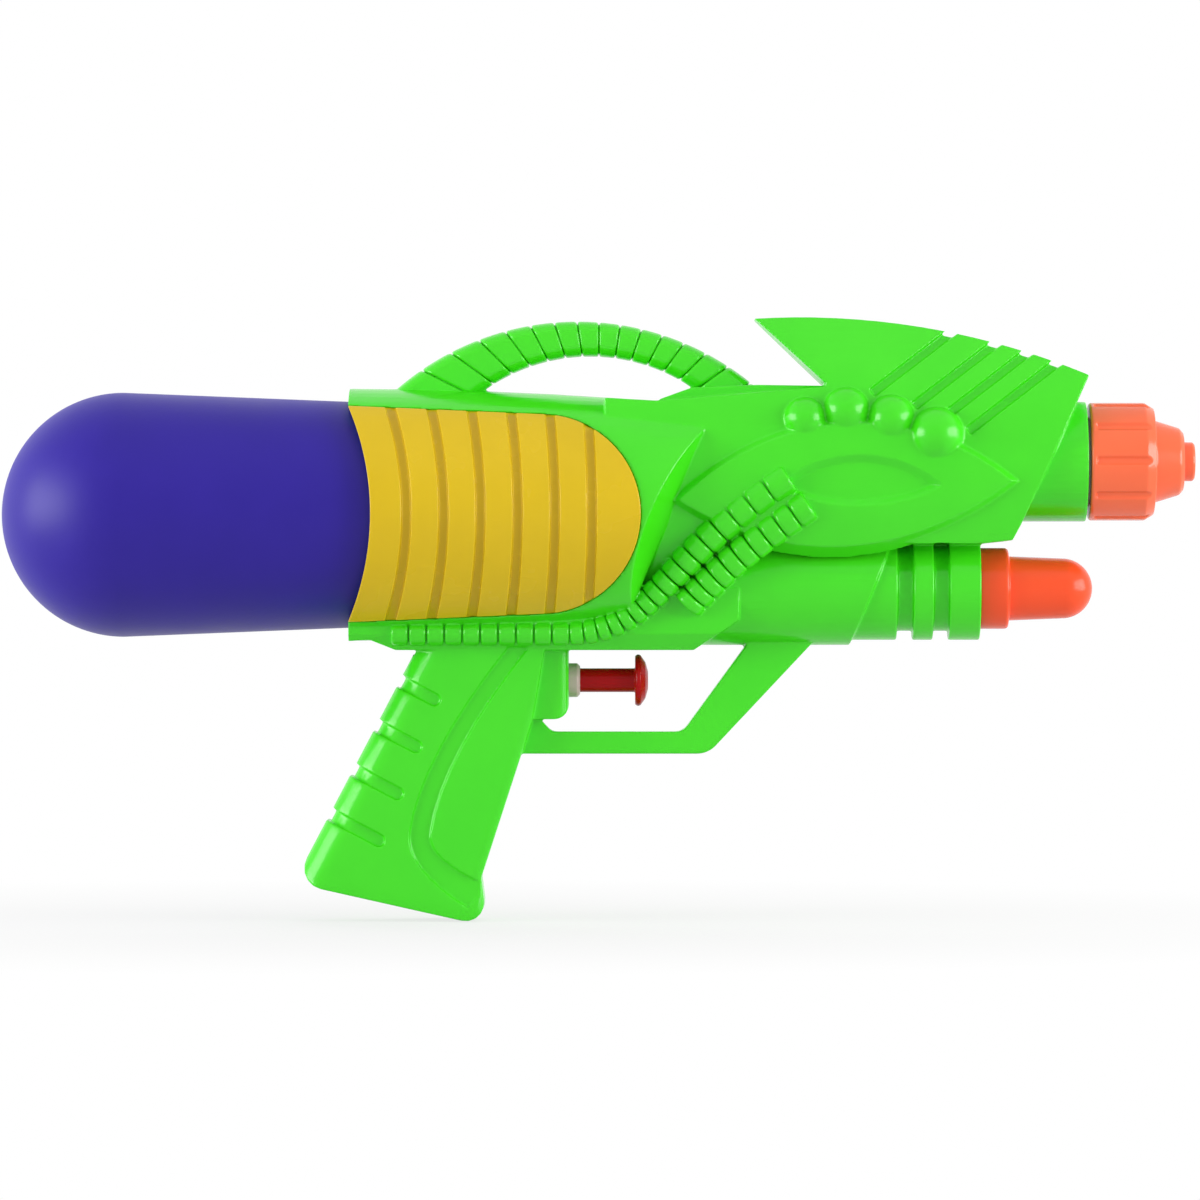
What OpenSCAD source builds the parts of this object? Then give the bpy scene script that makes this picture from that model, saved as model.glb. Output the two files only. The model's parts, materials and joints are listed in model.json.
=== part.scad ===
// Toy water squirter: two moulded half shells around a trigger pump, with a
// screw-on water tank behind and a screw-on nozzle in front.
// Millimetres. The origin is the middle of the grip, +X points to the muzzle, +Z is up.

/* [Tank] */
// Height of the tank's axis above the middle of the grip
axis_z = 66.5; // [62:0.5:74]
// Largest radius of the tank, at its domed end
tank_dome_r = 33.8; // [31:0.1:37]
// Radius of the tank where it enters the housing
tank_mouth_r = 31.3; // [28:0.1:33]
// Length of the tank behind the housing's rear edge
tank_reach = 96.4; // [75:0.2:125]
// Wall of the tank
tank_wall = 1.5; // [1:0.1:2.5]
// Outer radius of the tank's neck
neck_r = 12.5; // [11:0.1:14]
// Length of the tank's neck
neck_len = 14; // [11:0.5:16]

/* [Housing] */
// X of the housing's rear edge
house_rear = -24.9; // [-30:0.1:-22]
// Length of the round housing, from its rear edge to its front bevel
house_len = 88.6; // [84:0.2:100]
// Wall of the round housing
house_wall = 2.6; // [2.2:0.1:3.4]
// How much the housing's radius falls towards its front
house_drop = 3.7; // [2:0.1:6]
// Width of the bevel at the housing's front
bevel_w = 12; // [8:0.2:16]
// Lean of the bevel from upright, in degrees
bevel_lean = 22.1; // [12:0.1:30]
// Wall of the rest of the shells
wall = 2.2; // [1.8:0.1:2.8]
// Half the width of the belly under the housing
belly_half = 16; // [14:0.5:18]
// Depth of the belly's flat underside below the tank's axis
belly_drop = 37.4; // [36:0.1:39]

/* [Panels] */
// Thickness of a cover panel
panel_t = 1.9; // [1.5:0.1:2.4]
// Depth of the panel's seat in the housing
seat_depth = 1.2; // [0.8:0.1:1.6]
// Half the height of a panel at its rear edge
panel_half = 29.7; // [26:0.1:31]
// Radius of a panel's round front
panel_nose_r = 27.4; // [24:0.1:29]
// How far a panel's rear edge is hollowed
panel_hollow = 6.6; // [3:0.1:9]
// Number of grooves in a panel
groove_count = 6; // [4:1:7]
// Width of a panel groove
groove_w = 2.7; // [1.4:0.1:3.2]
// Depth of a panel groove
groove_depth = 1.3; // [0.6:0.1:1.3]

/* [Head and barrels] */
// Half the width of the head at its widest
body_half = 20; // [18:0.5:24]
// Radius of the head's bulging sides
lens_r = 75; // [65:1:90]
// Distance from the housing's front to the muzzle face
muzzle = 115; // [108:0.5:130]
// Height of the upper barrel above the tank's axis
barrel_rise = 14.7; // [12:0.1:17]
// Radius of the upper barrel
barrel_r = 16.6; // [16.2:0.1:18.5]
// Depth of the lower barrel below the tank's axis
lower_drop = 20.4; // [19:0.1:22]
// Radius of the lower barrel
lower_r = 14.3; // [13.5:0.1:15.4]
// Distance from the housing's front to the lower barrel's end
lower_len = 85.6; // [80:0.2:92]
// Radius of the fin's long curved top
fin_r = 201; // [180:1:240]
// Height of the fin's top above the tank's axis
fin_rise = 54.5; // [50:0.5:58]
// How far the leaf stands out of the head
leaf_rise = 2.4; // [1.5:0.1:3.5]

/* [Grip, guard and handle] */
// Half the width of the grip
grip_half = 13; // [12:0.5:16]
// Lean of the grip's back from upright, in degrees
grip_lean = 27.7; // [24:0.1:31]
// Half the width of the trigger guard
guard_half = 5; // [4:0.2:7]
// Thickness of the guard's lower bar
guard_t = 6.1; // [5:0.1:8]
// Half the width of the carry handle
handle_half = 5.5; // [4.5:0.1:7.5]
// Radius of the carry handle's outer curve
handle_r = 76.2; // [72:0.2:82]
// Number of segments round the carry handle
handle_segments = 20; // [14:1:26]

/* [Trigger pump] */
// Depth of the pump's axis below the tank's axis
pump_drop = 45.8; // [45:0.1:47]
// X of the pump block's front face, under the belly
block_front = 35.7; // [34:0.1:38]
// Radius of the pump's bore
pump_bore_r = 4.5; // [4:0.1:4.8]
// Wall of the pump cylinder
pump_wall = 1.7; // [1.3:0.1:2]
// Travel of the trigger
stroke = 13; // [9:0.5:13.5]
// Radius of the trigger's rod
rod_r = 3.3; // [2.6:0.1:3.6]
// Radius of the trigger's head
head_r = 7.2; // [6:0.1:8]
// Thickness of the trigger's head
head_t = 3.6; // [3:0.1:5]
// Diameter of the return spring's wire
wire_d = 0.8; // [0.6:0.05:0.9]
// Turns of the return spring
spring_turns = 8; // [6:1:9]
// Radius of a valve ball
ball_r = 1.9; // [1.7:0.05:2.1]
// Lift of a valve ball
ball_lift = 1.2; // [0.8:0.1:1.6]

/* [Nozzle] */
// Radius of the nozzle cap over its ribs
cap_r = 16.3; // [15.5:0.1:17.5]
// Length of the nozzle cap's ribbed skirt
cap_len = 18; // [15:0.5:24]
// Ribs round the nozzle cap
cap_ribs = 10; // [8:1:16]
// Radius of the nozzle pipe
pipe_r = 12; // [11:0.1:12.5]
// Radius of the nozzle tip's spout
tip_r = 5.4; // [4.5:0.1:6]
// Radius of the jet hole
jet_r = 0.6; // [0.4:0.05:1]
// Radius of the muzzle plug's collar
plug_collar_r = 11.2; // [10.6:0.1:12.5]
// Length of the muzzle plug in front of the lower barrel
plug_len = 31.3; // [26:0.2:38]

/* [Fits] */
// Running gap round a moving piece
gap = 0.3; // [0.25:0.05:0.35]
// Gap round the tank in the housing
tank_gap = 1; // [0.7:0.1:1.5]
// Radius of a water hose
hose_r = 2.2; // [2:0.1:2.5]
// Bore radius of a water hose
hose_bore_r = 1.2; // [1:0.1:1.4]
// Outer radius of a screw boss
boss_r = 3.4; // [3.3:0.1:4]
// Radius of a screw's shank
screw_r = 1.2; // [1:0.05:1.4]
// Radius of a screw's head
screw_head_r = 2.4; // [2.2:0.1:2.6]

/* [Hidden] */
$fn = 72;

// Colours of the plastics
green = "#3ddb2c";
yellow = "#e0c23a";
purple = "#3a2a9a";
orange = "#ff6a3a";
red = "#b81824";
white = "#e6e4dc";

// Main places
house_r = tank_mouth_r + tank_gap + house_wall;
house_front = house_rear + house_len;
barrel_z = axis_z + barrel_rise;
lower_z = axis_z - lower_drop;
pump_z = axis_z - pump_drop;
belly_z = axis_z - belly_drop;
past = 1;

// Radius of the round housing at x
function house_out(x) = house_r - house_drop * pow((x - house_rear) / house_len, 2);

// Curves and rounded corners of side outlines
function unit(v) = v / norm(v);
function spun(q, w) = [q.x * cos(w) - q.y * sin(w), q.x * sin(w) + q.y * cos(w)];
function quad(a, b, c, t) = a * (1 - t) * (1 - t) + b * 2 * t * (1 - t) + c * t * t;
function cubic(a, b, c, d, t) = quad(a, b, c, t) * (1 - t) + quad(b, c, d, t) * t;
function corner(a, p, b, r, steps = 5) =
    let (u = unit(a - p), v = unit(b - p), half = acos(u * v) / 2)
    let (middle = p + unit(u + v) * r / sin(half), start = p + u * r / tan(half))
    let (turn = (2 * half - 180) * sign(u.x * v.y - u.y * v.x))
    [for (i = [0 : steps]) middle + spun(start - middle, turn * i / steps)];
// An outline given as [x, z, corner radius] points
function outline(pts) = [for (i = [0 : len(pts) - 1])
    let (n = len(pts), p = pts[i], a = pts[(i + n - 1) % n], b = pts[(i + 1) % n])
    each (p[2] > 0 ? corner([a.x, a.y], [p.x, p.y], [b.x, b.y], p[2]) : [[p.x, p.y]])];

// A side view (x, z) given depth to the right of the parting plane
module flank(depth, over = 0) {
    translate([0, over, 0]) rotate([90, 0, 0]) linear_extrude(depth + over) children();
}
// A cross section (y, z) drawn out along X
module along_x(x0, x1) {
    translate([x0, 0, 0]) rotate([90, 0, 90]) linear_extrude(x1 - x0) children();
}
// A profile (radius, x) turned about the X axis, whole or its right half
module turned() {
    rotate([0, 90, 0]) rotate_extrude() children();
}
module half_turned() {
    rotate([0, 90, 0]) rotate_extrude(angle = -180) children();
}
module bar_x(r, x0, x1) {
    translate([x0, 0, 0]) rotate([0, 90, 0]) cylinder(r = r, h = x1 - x0);
}
module bar_y(r, y0, y1) {
    translate([0, y0, 0]) rotate([-90, 0, 0]) cylinder(r = r, h = y1 - y0);
}
module bar_z(r, z0, z1) {
    translate([0, 0, z0]) cylinder(r = r, h = z1 - z0);
}
// The frames that pieces are drawn in
module at_axis() {
    translate([0, 0, axis_z]) children();
}
module at_head() {
    translate([house_front, 0, axis_z]) children();
}
module at_grip() {
    translate([grip_top.x, 0, grip_top.y]) rotate([0, grip_lean, 0]) children();
}
module at_pump() {
    translate([0, 0, pump_z]) children();
}

// Round housing behind the bevel
house_steps = 6;
house_end = house_front + 24;
bevel_half = body_half - 1;
house_step = (house_end - house_rear) / house_steps;
function house_side(inset) = [for (i = [0 : house_steps])
    let (x = house_rear + i * house_step) [house_out(x) - inset, x]];
// A layer of the housing between two depths under its surface
module house_layer(deep, shallow) {
    inner = house_side(deep);
    back = [for (i = [0 : house_steps]) inner[house_steps - i]];
    at_axis() turned() polygon(concat(house_side(shallow), back));
}
module house_turn(inset, over = 0) {
    side = house_side(inset);
    rear = house_rear - over;
    behind = over > 0 ? [[side[0].x, rear]] : [];
    at_axis() turned() polygon(concat([[0, house_end], [0, rear]], behind, side));
}
module bevel_prism(inset, over = 0) {
    reach = house_len + tank_reach;
    at_head() rotate([0, bevel_lean, 0]) linear_extrude(4 * house_r, center = true)
        translate([-inset, 0])
        polygon([[-reach, over], [0, over], [0, -bevel_half], [-bevel_w, -house_r - bevel_w],
            [-reach, -house_r - bevel_w]]);
}
module house_form() {
    intersection() {
        house_turn(0);
        bevel_prism(0);
    }
}

// Belly that carries the grip and the pump
belly_chamfer = [3.5, 4.5];
belly_end = house_front + 18.8;
module belly_outline(inset) {
    polygon([[house_rear + inset, axis_z - house_r + inset], [house_rear + 5.9, belly_z + 2.8 + inset],
        [house_rear + 12.9, belly_z + inset], [house_front + 6.4 - inset, belly_z + inset],
        [belly_end - inset, belly_z + 8.3 + inset], [belly_end - inset, lower_z],
        [house_rear + inset, lower_z]]);
}
module belly_section(inset) {
    half = belly_half - inset;
    polygon([[past, belly_z + inset], [belly_chamfer.x - half, belly_z + inset],
        [-half, belly_z + belly_chamfer.y + inset], [-half, axis_z], [past, axis_z]]);
}
module belly_form(inset, over = 0) {
    intersection() {
        flank(belly_half, over) belly_outline(inset);
        along_x(house_rear, belly_end) belly_section(inset);
    }
}

// Head: its side outline and its bulging sides
lens_z = 11.5;
slope = [18.9, 41];
chin = [21.1, -7.2];
// Where the head's side ends under the pipes and above the lower barrel
under = [[8, -lower_drop], [24, chin.y - 0.9]];
spike = [43.5, 35.2];
spike_lean = [-26.6, 24.8];
head_rear = [-18, 32];
crown = [-4.1, 31.2];
fin_apex_x = 36;
module head_outline() {
    fin_z = fin_rise + 6;
    intersection() {
        polygon([[head_rear.x, under[0].y], under[0], under[1], [lower_len, under[1].y],
            [muzzle - chin.x, chin.y], [muzzle - slope.x, -3.1], [muzzle, slope.y - 3.1],
            [muzzle, fin_z], spike + spike_lean, spike, crown, head_rear]);
        translate([fin_apex_x, fin_rise - fin_r]) circle(fin_r, $fn = 360);
    }
}
module lens(inset) {
    translate([0, lens_r - body_half, lens_z]) bar_x(lens_r - inset, head_rear.x - past, muzzle + past);
}
module head_form() {
    at_head() intersection() {
        flank(body_half + past) head_outline();
        lens(0);
    }
}

// Ridge on top of the head, from the housing to the fin
rail_half = 11;
module rail_form() {
    top = outline([[crown.x, 30, 0], [crown.x + 1.2, crown.y + 0.6, 1], [6, 35, 6], [24, 35.7, 20],
        [spike.x + 2, 35.4, 0], [spike.x + 2, 30, 0]]);
    at_head() flank(rail_half) polygon(top);
}

// Barrels
sleeve_rise = 1.4;
sleeve_line = [[48, -40], [62, -5]];
ring_x = [62.6, 72.6];
ring_w = 4.4;
ring_depth = 2.5;
ring_top = -7.9;
module tube_half(r, x0, x1) {
    half_turned() translate([0, x0]) square([r, x1 - x0]);
}
module barrel_form() {
    translate([0, 0, barrel_rise]) at_head() tube_half(barrel_r, 40, muzzle);
    translate([0, 0, -lower_drop]) at_head() tube_half(lower_r, -2, lower_len);
    at_head() intersection() {
        translate([0, 0, -lower_drop]) tube_half(lower_r + sleeve_rise, -3, sleeve_line[1].x);
        flank(2 * lower_r) polygon([[-10, sleeve_line[0].y], sleeve_line[0], sleeve_line[1],
            [-10, sleeve_line[1].y]]);
    }
}
module ring_cuts() {
    at_head() for (x = ring_x) along_x(x, x + ring_w) intersection() {
        translate([0, -lower_drop]) difference() {
            circle(2 * lower_r);
            circle(lower_r - ring_depth);
        }
        translate([-2 * lower_r, ring_top - 3 * lower_r]) square([4 * lower_r, 3 * lower_r]);
    }
}

// Grip: the top of its back edge, its foot and its front edge
grip_top = [-10.6, 21.5];
foot_z = -35;
foot_x = grip_top.x - tan(grip_lean) * (grip_top.y - foot_z);
toe = [13.2, -47];
toe_ease = 0.4;
front_low = [11.6, -33.5];
front_high = [25.6, 9.5];
front_lean = atan2(front_high.x - front_low.x, front_high.y - front_low.y);
back_round = 8;
front_round = 4;
slot_count = 4;
slot_pitch = 13.8;
slot_w = 3.6;
slot_depth = 1.2;
module grip_outline() {
    polygon(outline([[-6, belly_z + 4, 0], [-8.4, 27, 2], [grip_top.x, grip_top.y, 8],
        [foot_x, foot_z, 6], [toe.x, toe.y, 5], [front_low.x, front_low.y, 1.5],
        [front_high.x, front_high.y, 0], [front_high.x + 4, belly_z + 4, 0]]));
}
// Cross section with one rounded edge at the start, for the right half
module round_edge(r, half, length) {
    translate([r, -half]) square([length, half + past]);
    translate([0, r - half]) square([length, half - r + past]);
    translate([r, r - half]) circle(r);
}
module grip_sides(inset) {
    height = 200;
    at_grip() translate([inset, 0, -height / 2]) linear_extrude(height)
        round_edge(back_round - inset, grip_half - inset, height);
}
module grip_form(inset, over = 0) {
    height = 200;
    intersection() {
        flank(grip_half + past, over) grip_outline();
        grip_sides(inset);
        translate([front_low.x - inset, 0, front_low.y]) rotate([0, front_lean, 0])
            linear_extrude(height, center = true) translate([1, 0]) mirror([1, 0])
            round_edge(front_round, grip_half - inset, height);
    }
}
module toe_form() {
    intersection() {
        flank(grip_half + past) grip_outline();
        grip_sides(0);
        translate([toe.x, 0, toe.y - past]) linear_extrude(front_low.y - toe.y + past)
            mirror([1, 0]) round_edge(front_round, grip_half - toe_ease, toe.x);
    }
}
module grip_slots() {
    difference() {
        at_grip() flank(grip_half + past, past / 2) for (i = [0 : slot_count - 1]) {
            length = 11 + 1.5 * i;
            translate([0, -1 - slot_pitch * i]) {
                translate([-5, -slot_w / 2]) square([length + 5, slot_w]);
                translate([length, 0]) circle(slot_w / 2);
            }
        }
        grip_sides(slot_depth);
    }
}
// Channel that sweeps down the side of the grip
channel_steps = 8;
channel_depth = 1;
channel_w = 6;
module grip_channel() {
    top = [19, belly_z + 1];
    waist = [-8.2, -21];
    end = [8, -42];
    upper = [for (i = [0 : channel_steps]) quad(top, [-5, 0], waist, i / channel_steps)];
    lower = [for (i = [1 : channel_steps]) quad(waist, [-9.6, -31], end, i / channel_steps)];
    rear = concat(upper, lower);
    front = [for (p = rear) [p.x + channel_w, p.y + channel_w * (p.y < waist.y ? 1 : 0)
        * (waist.y - p.y) / (waist.y - end.y)]];
    count = len(rear);
    translate([0, channel_depth - grip_half, 0]) flank(grip_half)
        polygon(concat(rear, [for (i = [1 : count]) front[count - i]]));
}

// Pump block in front of the grip
pump_out_r = pump_bore_r + pump_wall;
cradle = 0.6;
block_half = pump_out_r + cradle + wall;
block_low = pump_z - block_half - 1.7;
block_round = 3;
module block_form() {
    length = block_front + 2 * block_half;
    intersection() {
        flank(block_half) polygon(outline([[0, block_low, 0], [block_front, block_low, 4],
            [block_front, belly_z + 3, 0], [0, belly_z + 3, 0]]));
        translate([block_front, 0, block_low - past]) mirror([1, 0, 0])
            linear_extrude(belly_z - block_low + 6) round_edge(block_round, block_half, length);
    }
}

// Trigger guard: lower bar and slanted strut
guard_low = 0.4;
strut_outer = 74.2;
strut_inner = 67.2;
strut_top = lower_z - 5;
module guard_form() {
    high = guard_low + guard_t;
    rise = strut_top - guard_low;
    flank(guard_half) polygon(outline([[8, guard_low, 0], [strut_outer, guard_low, 7],
        [strut_outer + 0.94 * rise, strut_top, 0], [strut_inner + 0.62 * rise, strut_top, 0],
        [strut_inner, high, 4], [31, high, 3], [27.6, high + 3.6, 0], [14, high + 3.6, 0]]));
}

// Carry handle: a crescent of slanted segments
handle_x = 38.1;
handle_rise = 53.4;
handle_t = 9.5;
handle_in_r = handle_r - 25.8;
handle_in_x = 41.6;
handle_fan = [44, 15];
segment_gap = 0.8;
segment_depth = 0.8;
module handle_disc(inset) {
    r = handle_r - inset;
    half = handle_half - inset;
    translate([handle_x, 0, handle_rise - handle_r]) rotate([90, 0, 0]) rotate_extrude()
        polygon([[0, 0], [r, 0], [r, 0.3 * half], [r - 1.2, 0.7 * half], [r - 3.4, half], [0, half]]);
}
module handle_hole(inset) {
    r = handle_in_r + inset;
    half = handle_half - inset;
    translate([handle_in_x, past, handle_rise - handle_t - handle_in_r]) rotate([90, 0, 0])
        rotate_extrude()
        polygon([[0, 0], [r, 0], [r, 0.3 * half + past], [r + 1.2, 0.7 * half + past],
            [r + 3.4, half + past], [r + 3.4, half + 2 * past], [0, half + 2 * past]]);
}
module handle_crescent(inset) {
    difference() {
        handle_disc(inset);
        handle_hole(inset);
    }
}
module handle_form() {
    low = 28.5;
    width = handle_r + past;
    step = 180 / handle_segments;
    at_axis() intersection() {
        union() {
            handle_crescent(segment_depth);
            intersection() {
                handle_crescent(0);
                translate([handle_fan.x, 0, handle_fan.y]) flank(handle_half + past)
                    for (i = [0 : handle_segments - 1]) rotate(step * i)
                    polygon([spun([8, segment_gap / 2], 2), spun([handle_r, segment_gap / 2], 0),
                        spun([handle_r, -segment_gap / 2], step), spun([8, -segment_gap / 2], step - 2)]);
            }
        }
        flank(handle_half + past) translate([handle_x - width, low]) square([2 * width, handle_r]);
    }
}

// Leaf with an eye pocket on the side of the head, each between two arcs
function sag_r(chord, sag) = (chord * chord / 4 + sag * sag) / (2 * sag);
module slanted_disc(r, deep, slant) {
    face = body_half + leaf_rise;
    cylinder(r1 = r + slant * face, r2 = r + slant * (face - deep), h = deep, $fn = 180);
}
module slanted_oval(tips, sag, deep, slant) {
    chord = norm(tips[1] - tips[0]);
    over_r = sag_r(chord, sag[0]);
    under_r = sag_r(chord, sag[1]);
    middle = (tips[0] + tips[1]) / 2;
    lean = atan2(tips[1].y - tips[0].y, tips[1].x - tips[0].x);
    rotate([90, 0, 0]) translate([middle.x, middle.y, 0]) rotate(lean) intersection() {
        translate([0, sag[0] - over_r, 0]) slanted_disc(over_r, deep, slant);
        translate([0, under_r - sag[1], 0]) slanted_disc(under_r, deep, slant);
    }
}
leaf_tips = [[2.5, 3.9], [93.3, 9.1]];
leaf_sag = [17.4, 13.6];
eye_tips = [[28.5, 7.4], [75, 7.7]];
eye_sag = [8.8, 6];
eye_depth = 1.9;
leaf_slant = 0.6;
leaf_root = 1.9;
eye_slant = 1.1;
module leaf_form() {
    deep = body_half + 2 * leaf_rise;
    at_head() difference() {
        intersection() {
            slanted_oval(leaf_tips, leaf_sag, deep, leaf_slant);
            difference() {
                lens(-leaf_rise);
                lens(leaf_root);
            }
        }
        difference() {
            slanted_oval(eye_tips, eye_sag, deep, -eye_slant);
            lens(eye_depth - leaf_rise);
        }
    }
}

// Round studs in a row above the leaf: [x, z, radius]
studs = [[36.9, 26.2, 5.9], [48.2, 28.4, 6.5], [60.5, 26.2, 6.6], [72.9, 21.8, 7.6]];
stud_sunk = 1.3;
function lens_half(z, inset) = sqrt(pow(lens_r - inset, 2) - pow(z - lens_z, 2)) - lens_r + body_half;
module stud_form() {
    at_head() for (s = studs) translate([s.x, stud_sunk - lens_half(s.y, 0), s.y]) sphere(s[2]);
}

// Slanted grooves across the fin
fin_groove_w = 2.6;
fin_groove_depth = 1.3;
fin_groove_lean = 37.5;
fin_grooves = [[55.3, 33.2], [66.8, 29.6], [75.2, 26.8], [81.6, 22.7]];
module fin_cuts() {
    at_head() difference() {
        flank(body_half + past) for (p = fin_grooves) translate(p) rotate(fin_groove_lean)
            translate([0, -fin_groove_w / 2]) square([48, fin_groove_w]);
        intersection() {
            lens(fin_groove_depth);
            translate([0, past, 0]) flank(body_half + 2 * past)
                translate([fin_apex_x, fin_rise - fin_groove_depth - fin_r]) circle(fin_r, $fn = 360);
        }
    }
}

// Two ribbed pipes moulded on the side, as rows of short round beads
pipe_bead_r = [3.3, 4.5];
bead_gap = 1.4;
module rod_between(a, b, r) {
    d = b - a;
    translate(a) rotate([0, acos(d.z / norm(d)), atan2(d.y, d.x)]) cylinder(r = r, h = norm(d), $fn = 32);
}
module ribbed(path, radii) {
    last = len(path) - 2;
    for (i = [0 : last]) {
        trim = unit(path[i + 1] - path[i]) * bead_gap / 2;
        rod_between(path[i] + trim, path[i + 1] - trim, radii[0] + (radii[1] - radii[0]) * i / last);
    }
}
run_beads = 10;
climb_beads = 17;
short_beads = 10;
module pipe_form() {
    run_z = belly_z + 4.7;
    start = [house_rear + 11.6, -14.6, run_z];
    bend = [house_front - 27.7, -14.6, run_z];
    peak = [house_front + 32.6, -20.4, axis_z + 10.1];
    low = [house_front + 4.2, -15.9, axis_z - 25.2];
    high = [house_front + 38.2, -20.4, axis_z + 2.7];
    run = [for (i = [0 : run_beads]) start + (bend - start) * i / run_beads];
    climb = [for (i = [1 : climb_beads]) cubic(bend, bend + [24, -2, 0.2], bend + [26, -4, 22], peak,
        i / climb_beads)];
    short = [for (i = [0 : short_beads]) cubic(low, low + [7.5, -1.4, 8.4], low + [19.5, -3, 18.4], high,
        i / short_beads)];
    ribbed(run, [pipe_bead_r[0], pipe_bead_r[0]]);
    ribbed(concat([bend], climb), pipe_bead_r);
    ribbed(short, [pipe_bead_r[1], pipe_bead_r[1]]);
}

// Cover panel: its outline in the tank axis's frame, its grooves and its pegs
panel_nose_x = 28;
panel_gap = 0.1;
groove_start = -8.4;
groove_pitch = 10.1;
groove_fade = 0.77;
peg_r = 1.5;
pegs = [[8, 17], [8, -17], [44, 0]];
function peg_y(p) = sqrt(pow(house_out(p.x) - seat_depth, 2) - p.y * p.y);
module panel_field(grow, rear_x) {
    nose = panel_nose_r + grow;
    rear = panel_half + grow;
    polygon([[rear_x, -rear], [panel_nose_x, -nose], [panel_nose_x, nose], [rear_x, rear]]);
    translate([panel_nose_x, 0]) circle(nose, $fn = 120);
}
module panel_outline() {
    hollow_r = sag_r(2 * panel_half, panel_hollow);
    difference() {
        panel_field(0, house_rear);
        translate([house_rear + panel_hollow - hollow_r, 0]) circle(hollow_r, $fn = 180);
    }
}
module panel_grooves() {
    intersection() {
        for (i = [0 : groove_count - 1]) {
            r = sag_r(2 * panel_half, panel_hollow * pow(groove_fade, i + 1));
            translate([groove_start + i * groove_pitch - r, 0]) difference() {
                circle(r + groove_w / 2, $fn = 180);
                circle(r - groove_w / 2, $fn = 180);
            }
        }
        translate([house_rear, -panel_half - past]) square([house_len, 2 * panel_half + 2 * past]);
    }
}
module panel_seat() {
    intersection() {
        at_axis() flank(2 * house_r) panel_field(panel_gap, house_rear - past);
        house_layer(seat_depth, -panel_t);
    }
    for (p = pegs) translate([p.x, 0, axis_z + p.y])
        bar_y(peg_r + panel_gap, -house_r, 2 - peg_y(p) + house_wall);
}
module rear_hollow() {
    hollow_r = sag_r(2 * panel_half, panel_hollow);
    at_axis() flank(2 * house_r) translate([house_rear + panel_hollow - hollow_r, 0])
        circle(hollow_r, $fn = 180);
}
module panel_solid() {
    proud = panel_t - seat_depth;
    rest = seat_depth - panel_gap;
    difference() {
        intersection() {
            at_axis() flank(2 * house_r) panel_outline();
            house_layer(rest, -proud);
        }
        intersection() {
            at_axis() flank(2 * house_r) panel_grooves();
            house_layer(groove_depth - proud, -panel_t);
        }
    }
    for (p = pegs) translate([p.x, 0, axis_z + p.y])
        bar_y(peg_r, -peg_y(p) - 0.6, house_wall - seat_depth + 0.4 - peg_y(p));
}

// Tank, its neck and the socket that takes it
shoulder_x = house_rear + 10.9;
neck_root = house_rear + 22.9;
neck_end = neck_root + neck_len;
neck_wall = 2.5;
washer_t = 2;
socket_wall = 2.7;
socket_r = neck_r + gap + socket_wall;
socket_floor = neck_end + washer_t + 0.1;
socket_end = socket_floor + 3.6;
socket_flange = [neck_root + 7.8, 3, socket_r + 3.5];
tube_r = 2.2;
rib_t = 2.2;
rib_gap = 0.15;

// Nozzle pipe in the upper barrel
muzzle_x = house_front + muzzle;
flange_back = 8.7;
flange_t = 3;
pipe_back = 18.7;
pipe_out = 12.3;

// Room inside the shells, less the ribs and posts that stay in it
lower_bore_r = lower_r - ring_depth - wall;
front_wall = 2;
module head_room() {
    intersection() {
        flank(body_half, past) polygon([[head_rear.x + past, under[0].y - 4],
            under[0] - [7.5, 4], under[1] + [-5, 3.5], [58, -3.5], [muzzle - 26, -3.5],
            [muzzle - 15, 20], [muzzle - 22, 29], [spike.x, 30], [0, 28.4], [head_rear.x + past, 29]]);
        lens(wall);
    }
}
module room() {
    intersection() {
        house_turn(house_wall, past);
        bevel_prism(house_wall, past);
    }
    at_head() head_room();
    translate([0, 0, barrel_rise]) at_head() bar_x(barrel_r - wall, 60, muzzle - wall);
    translate([0, 0, -lower_drop]) at_head() bar_x(lower_bore_r, 6, lower_len + past);
    belly_form(wall, past);
    intersection() {
        grip_form(wall, past);
        translate([0, 0, wall]) flank(grip_half, past) grip_outline();
    }
    at_pump() flank(pump_out_r + cradle, past)
        translate([pump_rear - 6, -pump_out_r - cradle])
        square([pump_front - pump_rear + 6 + gland_flange, pump_drop - belly_drop + pump_out_r + 8]);
}
module ring_plate(x, t, r_out, r_in, low) {
    along_x(x, x + t) difference() {
        circle(r_out);
        circle(r_in);
        translate([-r_out, -2 * r_out]) square([2 * r_out, 2 * r_out + low]);
    }
}
module ribs() {
    for (x = [socket_flange.x - rib_t - rib_gap, socket_flange.x + socket_flange.y + rib_gap])
        at_axis() ring_plate(x, rib_t, house_r, socket_r + rib_gap, 3 - socket_r);
    for (x = [-flange_back - rib_t - rib_gap, flange_t - flange_back + rib_gap])
        translate([muzzle_x, 0, barrel_z]) ring_plate(x, rib_t, barrel_r, pipe_r + rib_gap, -barrel_r);
    for (x = [pump_rear + 14, pump_front - 6])
        at_pump() rotate([180, 0, 0])
            ring_plate(x, rib_t, body_half, pump_out_r + rib_gap, -1);
    for (s = screws) translate([s.x, 0, s.y]) bar_y(boss_r, -2 * body_half, past);
}

// Case screws: [x, z] of each, driven from the left
screws = [[-14, -31], [-7, 4.5], [house_front + 4, belly_z + 8.5], [house_front + 36, lower_z],
    [house_front + 54, axis_z + 43], [house_front - 2, axis_z + 25]];
screw_seat = 4;
screw_len = 12;
screw_head_t = 1.7;

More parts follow.
